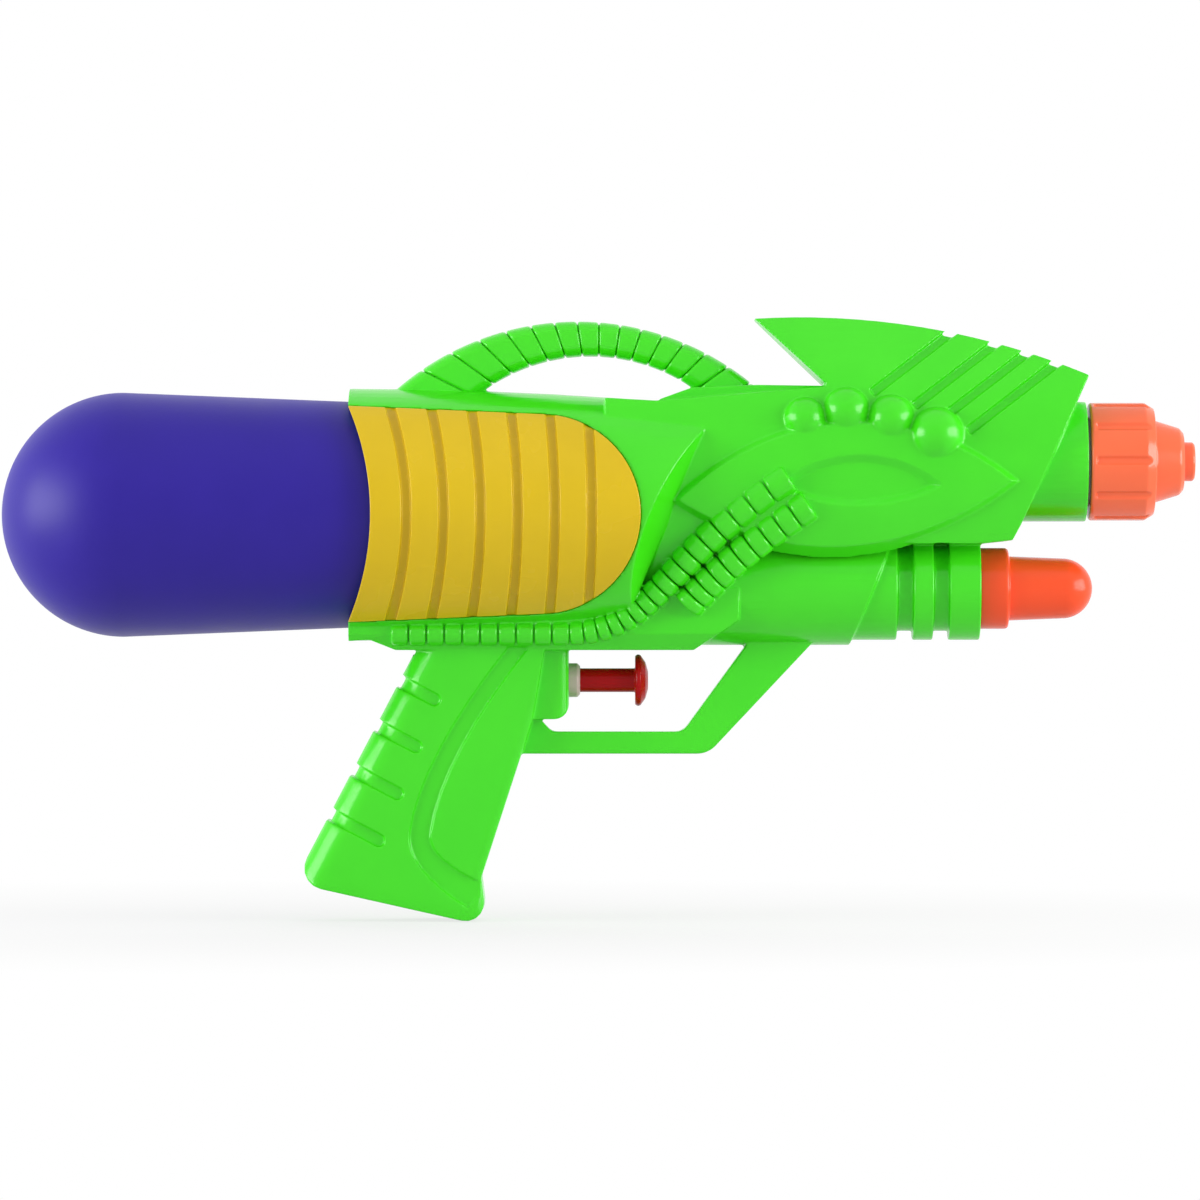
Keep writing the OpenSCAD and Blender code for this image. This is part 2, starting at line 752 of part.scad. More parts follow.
// One half of the housing, to the right of the parting plane
module half_shell() {
    difference() {
        union() {
            difference() {
                union() {
                    house_form();
                    belly_form(0);
                    head_form();
                    rail_form();
                    barrel_form();
                    grip_form(0);
                    toe_form();
                    block_form();
                    guard_form();
                    handle_form();
                }
                ring_cuts();
                fin_cuts();
                grip_slots();
                grip_channel();
                rear_hollow();
            }
            leaf_form();
            stud_form();
            pipe_form();
        }
        panel_seat();
        difference() {
            room();
            ribs();
        }
        at_pump() bar_x(gland_r + rib_gap, pump_front, block_front + past);
        translate([0, 0, barrel_z]) bar_x(pipe_r + rib_gap, muzzle_x - 2 * wall, muzzle_x + past);
    }
}
module right_shell() {
    color(green) difference() {
        half_shell();
        for (s = screws) translate([s.x, 0, s.y])
            bar_y(screw_r + 0.05, screw_seat - screw_len - past, past);
    }
}
module left_shell() {
    color(green) difference() {
        mirror([0, 1, 0]) half_shell();
        for (s = screws) translate([s.x, 0, s.y]) {
            bar_y(screw_r + rib_gap, -past, screw_seat + past);
            bar_y(screw_head_r + gap, screw_seat, 2 * body_half);
        }
    }
}
module right_panel() {
    color(yellow) panel_solid();
}
module left_panel() {
    color(yellow) mirror([0, 1, 0]) panel_solid();
}
module case_screws() {
    color("silver") for (s = screws) translate([s.x, 0, s.y]) {
        bar_y(screw_r, screw_seat - screw_len, screw_seat + 0.2);
        translate([0, screw_seat, 0]) rotate([-90, 0, 0]) rotate_extrude()
            polygon([[0, 0], [screw_head_r, 0], [screw_head_r, 0.6], [0.55 * screw_head_r, screw_head_t],
                [0, screw_head_t]]);
    }
}

// Tank: blow-moulded bottle with a domed end
tank_dome_x = house_rear - tank_reach + tank_dome_r;
tank_slope = (tank_dome_r - tank_mouth_r) / (house_rear - tank_dome_x);
module tank_profile(inset, neck_inset, end) {
    r = tank_dome_r - inset;
    shoulder_r = tank_mouth_r - (shoulder_x - house_rear) * tank_slope - inset;
    throat = neck_r - neck_inset;
    intersection() {
        union() {
            translate([0, tank_dome_x]) circle(r, $fn = 120);
            polygon([[0, tank_dome_x], [r, tank_dome_x], [shoulder_r, shoulder_x - inset],
                [shoulder_r - 3, shoulder_x + 3.2 - inset], [throat + 1.6, neck_root - inset],
                [throat, neck_root - inset + 1], [throat, end], [0, end]]);
        }
        translate([0, tank_dome_x - 2 * r]) square([2 * r, end - tank_dome_x + 2 * r]);
    }
}
module tank() {
    color(purple) at_axis() difference() {
        turned() tank_profile(0, 0, neck_end);
        turned() tank_profile(tank_wall, neck_wall, neck_end + past);
    }
}
module tank_washer() {
    color(white) at_axis() difference() {
        bar_x(neck_r, neck_end, neck_end + washer_t);
        bar_x(neck_r - neck_wall - 1, neck_end - past, neck_end + washer_t + past);
    }
}

// Socket: threaded cup with a cross channel to a barb underneath
barb_r = hose_bore_r - 0.05;
barb_bore_r = 0.7;
barb_len = 3;
barb_x = (socket_floor + socket_end) / 2;
tube_seat = 1;
module tank_socket() {
    color(white) at_axis() difference() {
        union() {
            bar_x(socket_r, neck_root + past, socket_end);
            bar_x(socket_flange[2], socket_flange.x, socket_flange.x + socket_flange.y);
            translate([barb_x, 0, 0]) bar_z(barb_r, -socket_r - barb_len, 0);
        }
        bar_x(neck_r + gap, neck_root, socket_floor);
        bar_x(tube_r + 0.05, socket_floor - past, socket_floor + tube_seat);
        translate([barb_x, 0, 0]) bar_z(barb_bore_r, -socket_r - barb_len - past, 0);
    }
}

// A hollow tube swept along points [x, z] in the middle plane
tube_sides = 16;
arc_steps = 7;
function arc(middle, r, from, to) = [for (i = [0 : arc_steps])
    middle + r * [cos(from + (to - from) * i / arc_steps), sin(from + (to - from) * i / arc_steps)]];
function heading(path, i) = unit(path[min(i + 1, len(path) - 1)] - path[max(i - 1, 0)]);
function tube_ring(path, i, r) = let (d = heading(path, i)) [for (j = [0 : tube_sides - 1])
    let (b = 360 * j / tube_sides, q = path[i] + r * cos(b) * [-d.y, d.x]) [q.x, r * sin(b), q.y]];
module swept_tube(path, r_out, r_in) {
    n = tube_sides;
    rings = len(path);
    inner = rings * n;
    end = (rings - 1) * n;
    points = [for (r = [r_out, r_in]) for (i = [0 : rings - 1]) each tube_ring(path, i, r)];
    faces = [for (j = [0 : n - 1]) let (k = (j + 1) % n) each concat(
        [for (i = [0 : rings - 2]) each [[i * n + j, i * n + k, i * n + n + j],
            [i * n + k, i * n + n + k, i * n + n + j],
            [inner + i * n + j, inner + i * n + n + j, inner + i * n + k],
            [inner + i * n + k, inner + i * n + n + j, inner + i * n + n + k]]],
        [[j, inner + j, k], [k, inner + j, inner + k],
            [end + j, end + k, inner + end + j], [end + k, inner + end + k, inner + end + j]])];
    polyhedron(points, faces);
}
// Dip tube: through the neck, then down to the low side of the tank
dip_bend_x = house_rear - 1;
dip_bend_r = 30;
dip_angle = 35;
dip_clear = 3;
module dip_tube() {
    bend = arc([dip_bend_x, -dip_bend_r], dip_bend_r, 90, 90 + dip_angle);
    drop = tank_dome_r - tank_wall - dip_clear - tube_r - dip_bend_r * (1 - cos(dip_angle));
    tail = bend[arc_steps] - drop / sin(dip_angle) * [cos(dip_angle), sin(dip_angle)];
    color(white) at_axis()
        swept_tube(concat([[socket_floor + tube_seat - rest_gap, 0]], bend, [tail]), tube_r, tube_r - 1);
}

// Trigger pump: a cylinder with an upright inlet and an outlet that leans forward
pump_rear = block_front - 36.7;
pump_front = block_front - 4.7;
pump_end_wall = 2;
gland_flange = block_front - front_wall - pump_front;
gland_r = 4.7;
gland_out = 3.1;
valve_r = 3.2;
chamber_r = ball_r + 0.35;
port_r = 1;
lip_wall = 1;
rest_gap = 0.05;
// Distances from the pump's axis: the lip a ball lies on, the ball and the chamber's top
inlet_lip = pump_bore_r + lip_wall;
outlet_lip = (pump_bore_r + lip_wall) / cos(45) + chamber_r;
ball_sit = sqrt(ball_r * ball_r - port_r * port_r) + rest_gap;
chamber = 2 * ball_sit + ball_lift;
inlet_top = inlet_lip + chamber;
outlet_top = outlet_lip + chamber;
inlet_x = pump_rear + 7.5;
outlet_x = pump_rear + 5.5;
module at_inlet() {
    translate([inlet_x, 0, pump_z]) children();
}
module at_outlet() {
    translate([outlet_x, 0, pump_z]) rotate([0, 45, 0]) children();
}
// Slots beside a port, so that a ball lying on it doesn't close it
module port_slots(z0, z1) {
    for (a = [0, 90]) rotate(a) translate([-chamber_r, -0.4, z0]) cube([2 * chamber_r, 0.8, z1 - z0]);
}
module pump_body() {
    color(white) difference() {
        union() {
            at_pump() bar_x(pump_out_r, pump_rear, pump_front);
            at_inlet() bar_z(valve_r, 0, inlet_top);
            at_outlet() bar_z(valve_r, 0, outlet_top);
        }
        at_pump() bar_x(pump_bore_r, pump_rear + pump_end_wall, pump_front + past);
        at_inlet() {
            bar_z(port_r, 0, inlet_lip + past);
            bar_z(chamber_r, inlet_lip, inlet_top + past);
            port_slots(0, inlet_lip + past);
        }
        at_outlet() {
            bar_z(port_r, 0, outlet_lip + past);
            bar_z(chamber_r, outlet_lip, outlet_top + past);
        }
    }
}
module pump_gland() {
    color(white) at_pump() difference() {
        union() {
            bar_x(pump_out_r, pump_front, pump_front + gland_flange);
            turned() polygon([[0, pump_front], [gland_r, pump_front],
                [gland_r, block_front + gland_out - 0.8], [gland_r - 0.8, block_front + gland_out],
                [0, block_front + gland_out]]);
        }
        bar_x(rod_r + rib_gap, pump_front - past, block_front + gland_out + past);
    }
}
// Hose fitting that closes a valve chamber
fitting_flange = 1.4;
fitting_len = fitting_flange + barb_len;
module fitting(low, slotted) {
    difference() {
        union() {
            bar_z(valve_r - gap, low, low + fitting_flange);
            bar_z(barb_r, low, low + fitting_len);
        }
        bar_z(barb_bore_r, low - past, low + fitting_len + past);
        if (slotted) port_slots(low - past, low + 0.6);
    }
}
module inlet_fitting() {
    color(white) at_inlet() fitting(inlet_top, false);
}
module outlet_fitting() {
    color(white) at_outlet() fitting(outlet_top, true);
}
module inlet_ball() {
    color("silver") at_inlet() translate([0, 0, inlet_lip + ball_sit]) sphere(ball_r);
}
module outlet_ball() {
    color("silver") at_outlet() translate([0, 0, outlet_lip + ball_sit]) sphere(ball_r);
}

// Trigger plunger: round head, rod and piston, with its seal and return spring
piston_len = 6.2;
piston_front = pump_front - gap;
piston_rear = piston_front - piston_len;
piston_r = pump_bore_r - rib_gap;
seal_x = piston_rear + 2;
seal_w = 2;
seal_r = pump_bore_r - rest_gap;
seal_in_r = piston_r - 1.3;
head_x = block_front + gland_out + 2.2 + stroke;
module trigger_plunger() {
    color(red) at_pump() difference() {
        union() {
            bar_x(piston_r, piston_rear, piston_front);
            bar_x(rod_r, piston_front - past, head_x + past);
            turned() polygon([[0, head_x], [head_r - 0.5, head_x], [head_r, head_x + 0.7],
                [head_r - 0.2, head_x + 1.5], [0.7 * head_r, head_x + 0.8 * head_t],
                [0.35 * head_r, head_x + head_t], [0, head_x + head_t]]);
        }
        difference() {
            bar_x(pump_bore_r, seal_x, seal_x + seal_w);
            bar_x(seal_in_r, seal_x - past, seal_x + seal_w + past);
        }
    }
}
module piston_seal() {
    color("dimgray") at_pump() difference() {
        bar_x(seal_r, seal_x + rest_gap, seal_x + seal_w - rest_gap);
        bar_x(seal_in_r + rest_gap, seal_x - past, seal_x + seal_w + past);
    }
}
spring_r = pump_bore_r - 1.2;
spring_sides = 6;
spring_rings = 12;
spring_start = pump_rear + pump_end_wall + wire_d / 2 + rest_gap;
spring_pitch = (piston_rear - rest_gap - wire_d / 2 - spring_start) / spring_turns;
function spring_point(i, j) =
    let (a = 360 * i / spring_rings, b = 360 * j / spring_sides, r = spring_r + wire_d / 2 * cos(b))
    [spring_start + spring_pitch * i / spring_rings + wire_d / 2 * sin(b), r * cos(a), r * sin(a)];
module return_spring() {
    rings = spring_turns * spring_rings;
    n = spring_sides;
    points = [for (i = [0 : rings]) for (j = [0 : n - 1]) spring_point(i, j)];
    skin = [for (i = [0 : rings - 1]) for (j = [0 : n - 1])
        let (a = i * n + j, b = i * n + (j + 1) % n) each [[a, a + n, b], [b, a + n, b + n]]];
    first = [for (j = [1 : n - 2]) [0, j, j + 1]];
    last = [for (j = [1 : n - 2]) [rings * n, rings * n + j + 1, rings * n + j]];
    color("silver") at_pump() polyhedron(points, concat(skin, first, last));
}
echo(least_gap_between_turns = spring_pitch - wire_d);

// Suction hose: an S bend from the socket's barb to the pump's inlet
bend_top = axis_z - socket_r - barb_len - 0.6;
bend_low = pump_z + inlet_top + fitting_len + 0.6;
bend_angle = 2 * atan2(barb_x - inlet_x, bend_top - bend_low);
bend_r = (bend_top - bend_low) / (2 * sin(bend_angle));
module suction_hose() {
    grip_len = barb_len + 0.5;
    upper = arc([barb_x - bend_r, bend_top], bend_r, 0, -bend_angle);
    lower = arc([inlet_x + bend_r, bend_low], bend_r, 180 - bend_angle, 180);
    path = concat([[barb_x, bend_top + grip_len]], upper, [for (i = [1 : arc_steps]) lower[i]],
        [[inlet_x, bend_low - grip_len]]);
    color(white) swept_tube(path, hose_r, hose_bore_r);
}

// Delivery hose: up from the pump's outlet, then forward in the upper barrel
lift_r = 40;
lift_end = outlet_x + barrel_z - pump_z + lift_r * tan(22.5);
module delivery_hose() {
    from = (outlet_top + fitting_flange + 0.1) * cos(45);
    bend = arc([lift_end, barrel_z - lift_r], lift_r, 135, 90);
    path = concat([[outlet_x + from, pump_z + from]], bend, [[muzzle_x - pipe_back - 0.1, barrel_z]]);
    color(white) swept_tube(path, hose_r, hose_bore_r);
}

// Nozzle pipe, held by its flange in the upper barrel
pipe_bore_r = 2.5;
cap_start = 0.8;
nozzle_washer_t = 2;
tip_flange_t = 2;
module at_muzzle() {
    translate([muzzle_x, 0, barrel_z]) children();
}
module nozzle_pipe() {
    color(orange) at_muzzle() difference() {
        union() {
            bar_x(pipe_r, -pipe_back, pipe_out);
            bar_x(barrel_r - wall - rib_gap, -flange_back, flange_t - flange_back);
            bar_x(barb_r, -pipe_back - 2 * barb_len, past - pipe_back);
        }
        bar_x(pipe_bore_r, 2 - pipe_back, pipe_out + past);
        bar_x(barb_bore_r, -pipe_back - 2 * barb_len - past, 3 - pipe_back);
    }
}
module nozzle_washer() {
    color(white) at_muzzle() difference() {
        bar_x(pipe_r - 0.6, pipe_out + 0.1, pipe_out + nozzle_washer_t);
        bar_x(pipe_bore_r, pipe_out - past, pipe_out + nozzle_washer_t + past);
    }
}
// Nozzle tip: a disc behind the cap's front wall and a spout with the jet hole
tip_seat = pipe_out + nozzle_washer_t;
spout_end = cap_start + cap_len + 11.4;
module nozzle_tip() {
    color(orange) at_muzzle() difference() {
        union() {
            bar_x(pipe_r - 0.4, tip_seat, tip_seat + tip_flange_t);
            turned() polygon([[0, tip_seat], [tip_r, tip_seat], [tip_r, spout_end - 0.6],
                [tip_r - 0.6, spout_end], [0, spout_end]]);
        }
        bar_x(pipe_bore_r, tip_seat - past, spout_end - 4);
        bar_x(jet_r, tip_seat, spout_end + past);
        turned() polygon([[0, spout_end - 1.2], [jet_r, spout_end - 1.2], [3 * jet_r, spout_end + 0.1],
            [0, spout_end + 0.1]]);
    }
}
// Nozzle cap: ribbed skirt with a stepped cone in front
cap_end = cap_start + cap_len;
cone_len = 8.3;
cone_r = [cap_r - 4.8, cap_r - 7];
rib_cut_r = 1.3;
module nozzle_cap() {
    color(orange) at_muzzle() difference() {
        turned() polygon([[0, cap_start], [cap_r - 0.4, cap_start], [cap_r, cap_start + 0.5],
            [cap_r, cap_end - 2.6], [cap_r - 1.6, cap_end], [cone_r[0], cap_end],
            [cone_r[1], cap_end + cone_len - 1.2], [cone_r[1] - 1.4, cap_end + cone_len],
            [0, cap_end + cone_len]]);
        bar_x(pipe_r + 0.25, 0, tip_seat + tip_flange_t + rest_gap);
        bar_x(tip_r + 0.2, tip_seat, cap_end + cone_len + past);
        for (i = [0 : cap_ribs - 1]) rotate([360 * (i + 0.5) / cap_ribs, 0, 0])
            translate([0, 0, cap_r + 0.4]) bar_x(rib_cut_r, cap_start + 1.4, cap_end + past);
    }
}
// Muzzle plug: a dummy muzzle pressed into the lower barrel
plug_r = [8.9, 8.3];
plug_collar_t = 8;
plug_stub = 11;
module muzzle_plug() {
    dome_x = plug_len - plug_r[1];
    color(orange) translate([house_front + lower_len, 0, lower_z]) {
        bar_x(lower_bore_r - 0.1, -plug_stub, past);
        turned() intersection() {
            union() {
                polygon([[0, 0], [plug_collar_r, 0], [plug_collar_r, plug_collar_t - 1],
                    [plug_collar_r - 1, plug_collar_t], [plug_r[0], plug_collar_t], [plug_r[1], dome_x],
                    [0, dome_x]]);
                translate([0, dome_x]) circle(plug_r[1]);
            }
            square([2 * plug_collar_r, 2 * plug_len]);
        }
    }
}

right_shell();
left_shell();
right_panel();
left_panel();
case_screws();
tank();
tank_washer();
tank_socket();
dip_tube();
suction_hose();
pump_body();
pump_gland();
inlet_fitting();
inlet_ball();
outlet_fitting();
outlet_ball();
trigger_plunger();
piston_seal();
return_spring();
delivery_hose();
nozzle_pipe();
nozzle_washer();
nozzle_tip();
nozzle_cap();
muzzle_plug();
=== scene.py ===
# %% [markdown]
# A toy water squirter, dressed for its picture.
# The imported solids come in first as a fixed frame: every piece made below is set in that frame,
# in metres, +X towards the nozzle, +Z up, with the camera looking along +Y at the right side.
# The box of the solids is kept at once, because the dressed model has to stay inside it.

# %% load the frame
import json
import math

import bmesh
import bpy
from mathutils import Matrix, Vector


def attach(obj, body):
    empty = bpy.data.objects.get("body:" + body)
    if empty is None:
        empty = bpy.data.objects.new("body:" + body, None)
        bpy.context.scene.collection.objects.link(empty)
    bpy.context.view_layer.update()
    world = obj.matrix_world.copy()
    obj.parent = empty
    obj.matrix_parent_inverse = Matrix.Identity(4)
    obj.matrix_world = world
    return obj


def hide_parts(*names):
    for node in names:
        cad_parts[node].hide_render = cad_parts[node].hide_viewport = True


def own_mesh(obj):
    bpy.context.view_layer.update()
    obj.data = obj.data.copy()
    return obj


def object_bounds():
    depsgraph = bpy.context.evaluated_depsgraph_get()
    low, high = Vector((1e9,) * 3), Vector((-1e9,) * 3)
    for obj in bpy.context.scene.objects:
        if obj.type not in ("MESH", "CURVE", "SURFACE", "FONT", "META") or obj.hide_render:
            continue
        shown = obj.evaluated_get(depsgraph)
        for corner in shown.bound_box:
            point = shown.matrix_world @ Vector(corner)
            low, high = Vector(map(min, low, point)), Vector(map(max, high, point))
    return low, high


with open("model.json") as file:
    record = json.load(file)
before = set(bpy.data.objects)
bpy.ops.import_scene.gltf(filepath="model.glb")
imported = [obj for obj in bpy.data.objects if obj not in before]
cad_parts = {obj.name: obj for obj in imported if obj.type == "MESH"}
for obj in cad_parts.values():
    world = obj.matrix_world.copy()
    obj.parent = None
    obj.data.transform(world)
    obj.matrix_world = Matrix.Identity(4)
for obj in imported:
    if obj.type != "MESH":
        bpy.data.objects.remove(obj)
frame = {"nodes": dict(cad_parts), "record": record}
cad_box = [list(corner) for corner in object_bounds()]
MM = 0.001
scene = bpy.context.scene

# %% [markdown]
# The camera stands where the photograph was taken: level with the barrel and far away, because the
# picture shows hardly any perspective. 332.4 mm of the object fill the frame's width, so the focal
# length follows from the distance. The object's middle sits a little off the frame's centre.

# %% camera
FRAME_WIDTH, DISTANCE, SENSOR = 0.3324, 2.0, 36.0
VIEW_X, VIEW_Z = 0.0443, 0.0429
lens = bpy.data.cameras.new("camera")
lens.sensor_width = SENSOR
lens.lens = SENSOR * DISTANCE / FRAME_WIDTH
lens.clip_end = 20.0
camera = bpy.data.objects.new("camera", lens)
camera.location = (VIEW_X, -DISTANCE, VIEW_Z)
camera.rotation_euler = (math.radians(90), 0, 0)
scene.collection.objects.link(camera)
scene.camera = camera
print("camera: focal length", round(lens.lens, 1), "mm at", DISTANCE, "m")

# %% [markdown]
# Plain studio light. Two broad soft boxes stand at the sides, because every round stud in the photograph
# shows two pale patches near its left and right edges, and a third hangs above, because undersides are
# darker. A fourth stands behind, so that the hidden side can be looked at as well. Only the two side
# boxes are seen in the gloss.

# %% lights
MIDDLE = Vector((0.044, 0.0, 0.04))


def soft_box(name, place, size, watts, mirrored):
    lamp = bpy.data.lights.new(name, "AREA")
    lamp.shape = "RECTANGLE"
    lamp.size, lamp.size_y = size
    lamp.energy = watts
    box = bpy.data.objects.new(name, lamp)
    box.location = place
    box.rotation_mode = "QUATERNION"
    box.rotation_quaternion = (MIDDLE - Vector(place)).to_track_quat("-Z", "Y")
    box.visible_glossy = mirrored
    scene.collection.objects.link(box)
    print("lamp", name, watts, "W")


soft_box("left", (-1.4, -0.40, 0.06), (1.2, 1.2), 34, mirrored=True)
soft_box("right", (1.4, -0.45, 0.06), (1.2, 1.2), 28, mirrored=True)
soft_box("top", (0.1, -0.70, 1.4), (2.2, 1.4), 6, mirrored=False)
soft_box("back", (0.1, 1.50, 0.95), (1.8, 0.7), 17, mirrored=False)

# %% [markdown]
# The photograph's background is pure white, but a white world would also light the object and wash its
# colours out. So the world is white only for rays that look at it: from the camera, through glass or off
# a gloss. For lighting it is a mild grey.

# %% world
AMBIENT = 0.46
WHITE = (1, 1, 1, 1)


def node(tree, kind, **sockets):
    made = tree.nodes.new(kind)
    for name, value in sockets.items():
        made.inputs[name.replace("_", " ")].default_value = value
    return made


def looking_rays(tree):
    rays = tree.nodes.new("ShaderNodeLightPath")
    total = rays.outputs["Is Camera Ray"]
    for kind in ("Is Transmission Ray", "Is Glossy Ray"):
        either = tree.nodes.new("ShaderNodeMath")
        either.operation = "MAXIMUM"
        tree.links.new(total, either.inputs[0])
        tree.links.new(rays.outputs[kind], either.inputs[1])
        total = either.outputs[0]
    return total


world = bpy.data.worlds.new("studio")
world.use_nodes = True
scene.world = world
tree = world.node_tree
tree.nodes.clear()
out = tree.nodes.new("ShaderNodeOutputWorld")
ambient = node(tree, "ShaderNodeBackground", Color=WHITE, Strength=AMBIENT)
white = node(tree, "ShaderNodeBackground", Color=WHITE, Strength=1.0)
choose = tree.nodes.new("ShaderNodeMixShader")
tree.links.new(looking_rays(tree), choose.inputs["Fac"])
tree.links.new(ambient.outputs[0], choose.inputs[1])
tree.links.new(white.outputs[0], choose.inputs[2])
tree.links.new(choose.outputs[0], out.inputs["Surface"])
scene.view_settings.view_transform = "Standard"
print("world: white to look at,", AMBIENT, "for lighting")

# %% [markdown]
# Moulded plastic is never one flat colour. Each plastic here is a Principled shader whose colour wanders
# a little between two close tones, whose gloss is broken by a slow cloud, and whose skin has a very fine
# bump. The patterns read Object coordinates, so they stay with the piece when it moves.

# %% moulded plastic
CLOUD, GRAIN, SKIN_DEPTH = 45.0, 1500.0, 0.0002
TONE_STOPS, GLOSS_SPREAD, PLASTIC_IOR = (0.3, 0.7), (0.8, 1.25), 1.5


def plastic(name, tone, other, rough, bump, grain=GRAIN, mirror=0.5):
    mat = bpy.data.materials.new(name)
    mat.use_nodes = True
    tree = mat.node_tree
    shader = tree.nodes["Principled BSDF"]
    shader.inputs["IOR"].default_value = PLASTIC_IOR
    shader.inputs["Specular IOR Level"].default_value = mirror
    where = tree.nodes.new("ShaderNodeTexCoord")
    clouds = node(tree, "ShaderNodeTexNoise", Scale=CLOUD, Detail=3.0, Roughness=0.55)
    tree.links.new(where.outputs["Object"], clouds.inputs["Vector"])
    tones = tree.nodes.new("ShaderNodeValToRGB")
    for stop, place, colour in zip(tones.color_ramp.elements, TONE_STOPS, (other, tone)):
        stop.position = place
        stop.color = (*colour, 1)
    tree.links.new(clouds.outputs["Fac"], tones.inputs["Fac"])
    tree.links.new(tones.outputs["Color"], shader.inputs["Base Color"])
    shiny, dull = (rough * share for share in GLOSS_SPREAD)
    gloss = node(tree, "ShaderNodeMapRange", To_Min=shiny, To_Max=dull)
    tree.links.new(clouds.outputs["Fac"], gloss.inputs["Value"])
    tree.links.new(gloss.outputs["Result"], shader.inputs["Roughness"])
    fine = node(tree, "ShaderNodeTexNoise", Scale=grain, Detail=2.0, Roughness=0.5)
    tree.links.new(where.outputs["Object"], fine.inputs["Vector"])
    skin = node(tree, "ShaderNodeBump", Strength=bump, Distance=SKIN_DEPTH)
    tree.links.new(fine.outputs["Fac"], skin.inputs["Height"])
    tree.links.new(skin.outputs["Normal"], shader.inputs["Normal"])
    print("finish", name)
    return mat


# %% [markdown]
# The outer colours are those of the photograph: green housing, yellow panels, purple tank, an orange
# nozzle beside a redder plug, a dark red trigger and a milky gland. `mirror` is kept low on the deep
# colours, because a bright reflection of the white studio would grey them.

# %% outer finishes
green = plastic("moulded_green", (0.054, 0.710, 0.010), (0.048, 0.680, 0.008), 0.22, 0.04, mirror=0.40)
yellow = plastic("moulded_yellow", (0.700, 0.480, 0.010), (0.660, 0.450, 0.008), 0.26, 0.04, mirror=0.25)
purple = plastic("blown_purple", (0.024, 0.010, 0.290), (0.020, 0.008, 0.265), 0.42, 0.10, grain=900,
                 mirror=0.28)
orange = plastic("moulded_orange", (0.960, 0.150, 0.050), (0.930, 0.135, 0.043), 0.20, 0.03)
plug_orange = plastic("moulded_red_orange", (0.960, 0.090, 0.022), (0.930, 0.080, 0.018), 0.22, 0.03,
                      mirror=0.30)
red = plastic("moulded_red", (0.420, 0.003, 0.005), (0.385, 0.002, 0.004), 0.22, 0.03, mirror=0.14)
milky = plastic("milky_white", (0.580, 0.450, 0.420), (0.540, 0.420, 0.390), 0.32, 0.05, mirror=0.35)

# %% [markdown]
# The inner pieces do not show in the picture and are guessed: natural white fittings, soft hoses, grey
# rubber seals and plated steel, which is the same shader turned to metal. Each slot of the record is
# then tied to one finish, and each node to its slot and its body.

# %% inner finishes
natural = plastic("natural_white", (0.720, 0.720, 0.660), (0.680, 0.680, 0.620), 0.42, 0.05)
hose = plastic("soft_hose", (0.600, 0.660, 0.660), (0.560, 0.620, 0.620), 0.30, 0.03)
rubber = plastic("grey_rubber", (0.045, 0.045, 0.048), (0.035, 0.035, 0.038), 0.62, 0.15, grain=2500)
steel = plastic("plated_steel", (0.620, 0.620, 0.630), (0.560, 0.560, 0.575), 0.25, 0.05, grain=3000)
steel.node_tree.nodes["Principled BSDF"].inputs["Metallic"].default_value = 1.0
FINISH = {
    "shell_green": green, "panel_yellow": yellow, "tank_purple": purple, "nozzle_orange": orange,
    "trigger_red": red, "gland_white": milky, "inner_white": natural, "hose_clear": hose,
    "seal_grey": rubber, "steel": steel,
}
SLOT = {entry["node"]: entry["material_slot"] for entry in frame["record"]["subparts"]}
BODY = {n: b for b, members in frame["record"]["behaviour"]["bodies"].items() for n in members}
print("slots:", ", ".join(FINISH))

# %% [markdown]
# Every solid of the frame gets the material of its slot first. Pieces that are seen closely are
# replaced further down by a softened or richer form; the rest stay as they are.

# %% paint the frame
FACET_ANGLE = math.radians(28)
for name, solid in frame["nodes"].items():
    solid.data.materials.clear()
    solid.data.materials.append(FINISH[SLOT[name]])
    solid.data.shade_smooth()
    solid.data.set_sharp_from_angle(angle=FACET_ANGLE)
print("painted", len(frame["nodes"]), "nodes")

# %% [markdown]
# A moulding never has a knife edge: the steel mould rounds every corner and draws every dip soft.
# The solids have sharp edges, so each shown moulding is copied, rebuilt as a fine even skin,
# relaxed until its corners have a small radius, and thinned to a sensible number of faces.
# This is quicker and steadier than rounding hundreds of edges one at a time. Thinning can leave a few
# folded faces, so the corners of edges that are bent too sharply are drawn smooth at the end.

# %% smooth the folds
FOLD, FOLD_ROUNDS = 2.0, 3


def unfold(mesh):
    form = bmesh.new()
    form.from_mesh(mesh)
    for _ in range(FOLD_ROUNDS):
        creased = [edge for edge in form.edges if edge.is_manifold and edge.calc_face_angle() > FOLD]
        verts = sorted({vert for edge in creased for vert in edge.verts}, key=lambda vert: vert.index)
        bmesh.ops.smooth_vert(form, verts=verts, factor=0.5,
                              use_axis_x=True, use_axis_y=True, use_axis_z=True)
    form.to_mesh(mesh)
    form.free()


print("a fold is an edge bent by more than", round(math.degrees(FOLD)), "degrees")

# %% [markdown]
# Now the skins themselves. The two shells have the most detail and get a number of faces just under the
# limit for one piece; the small mouldings get a finer cell, because their edges are finer too.

# %% moulded skins
WELD = 1e-6


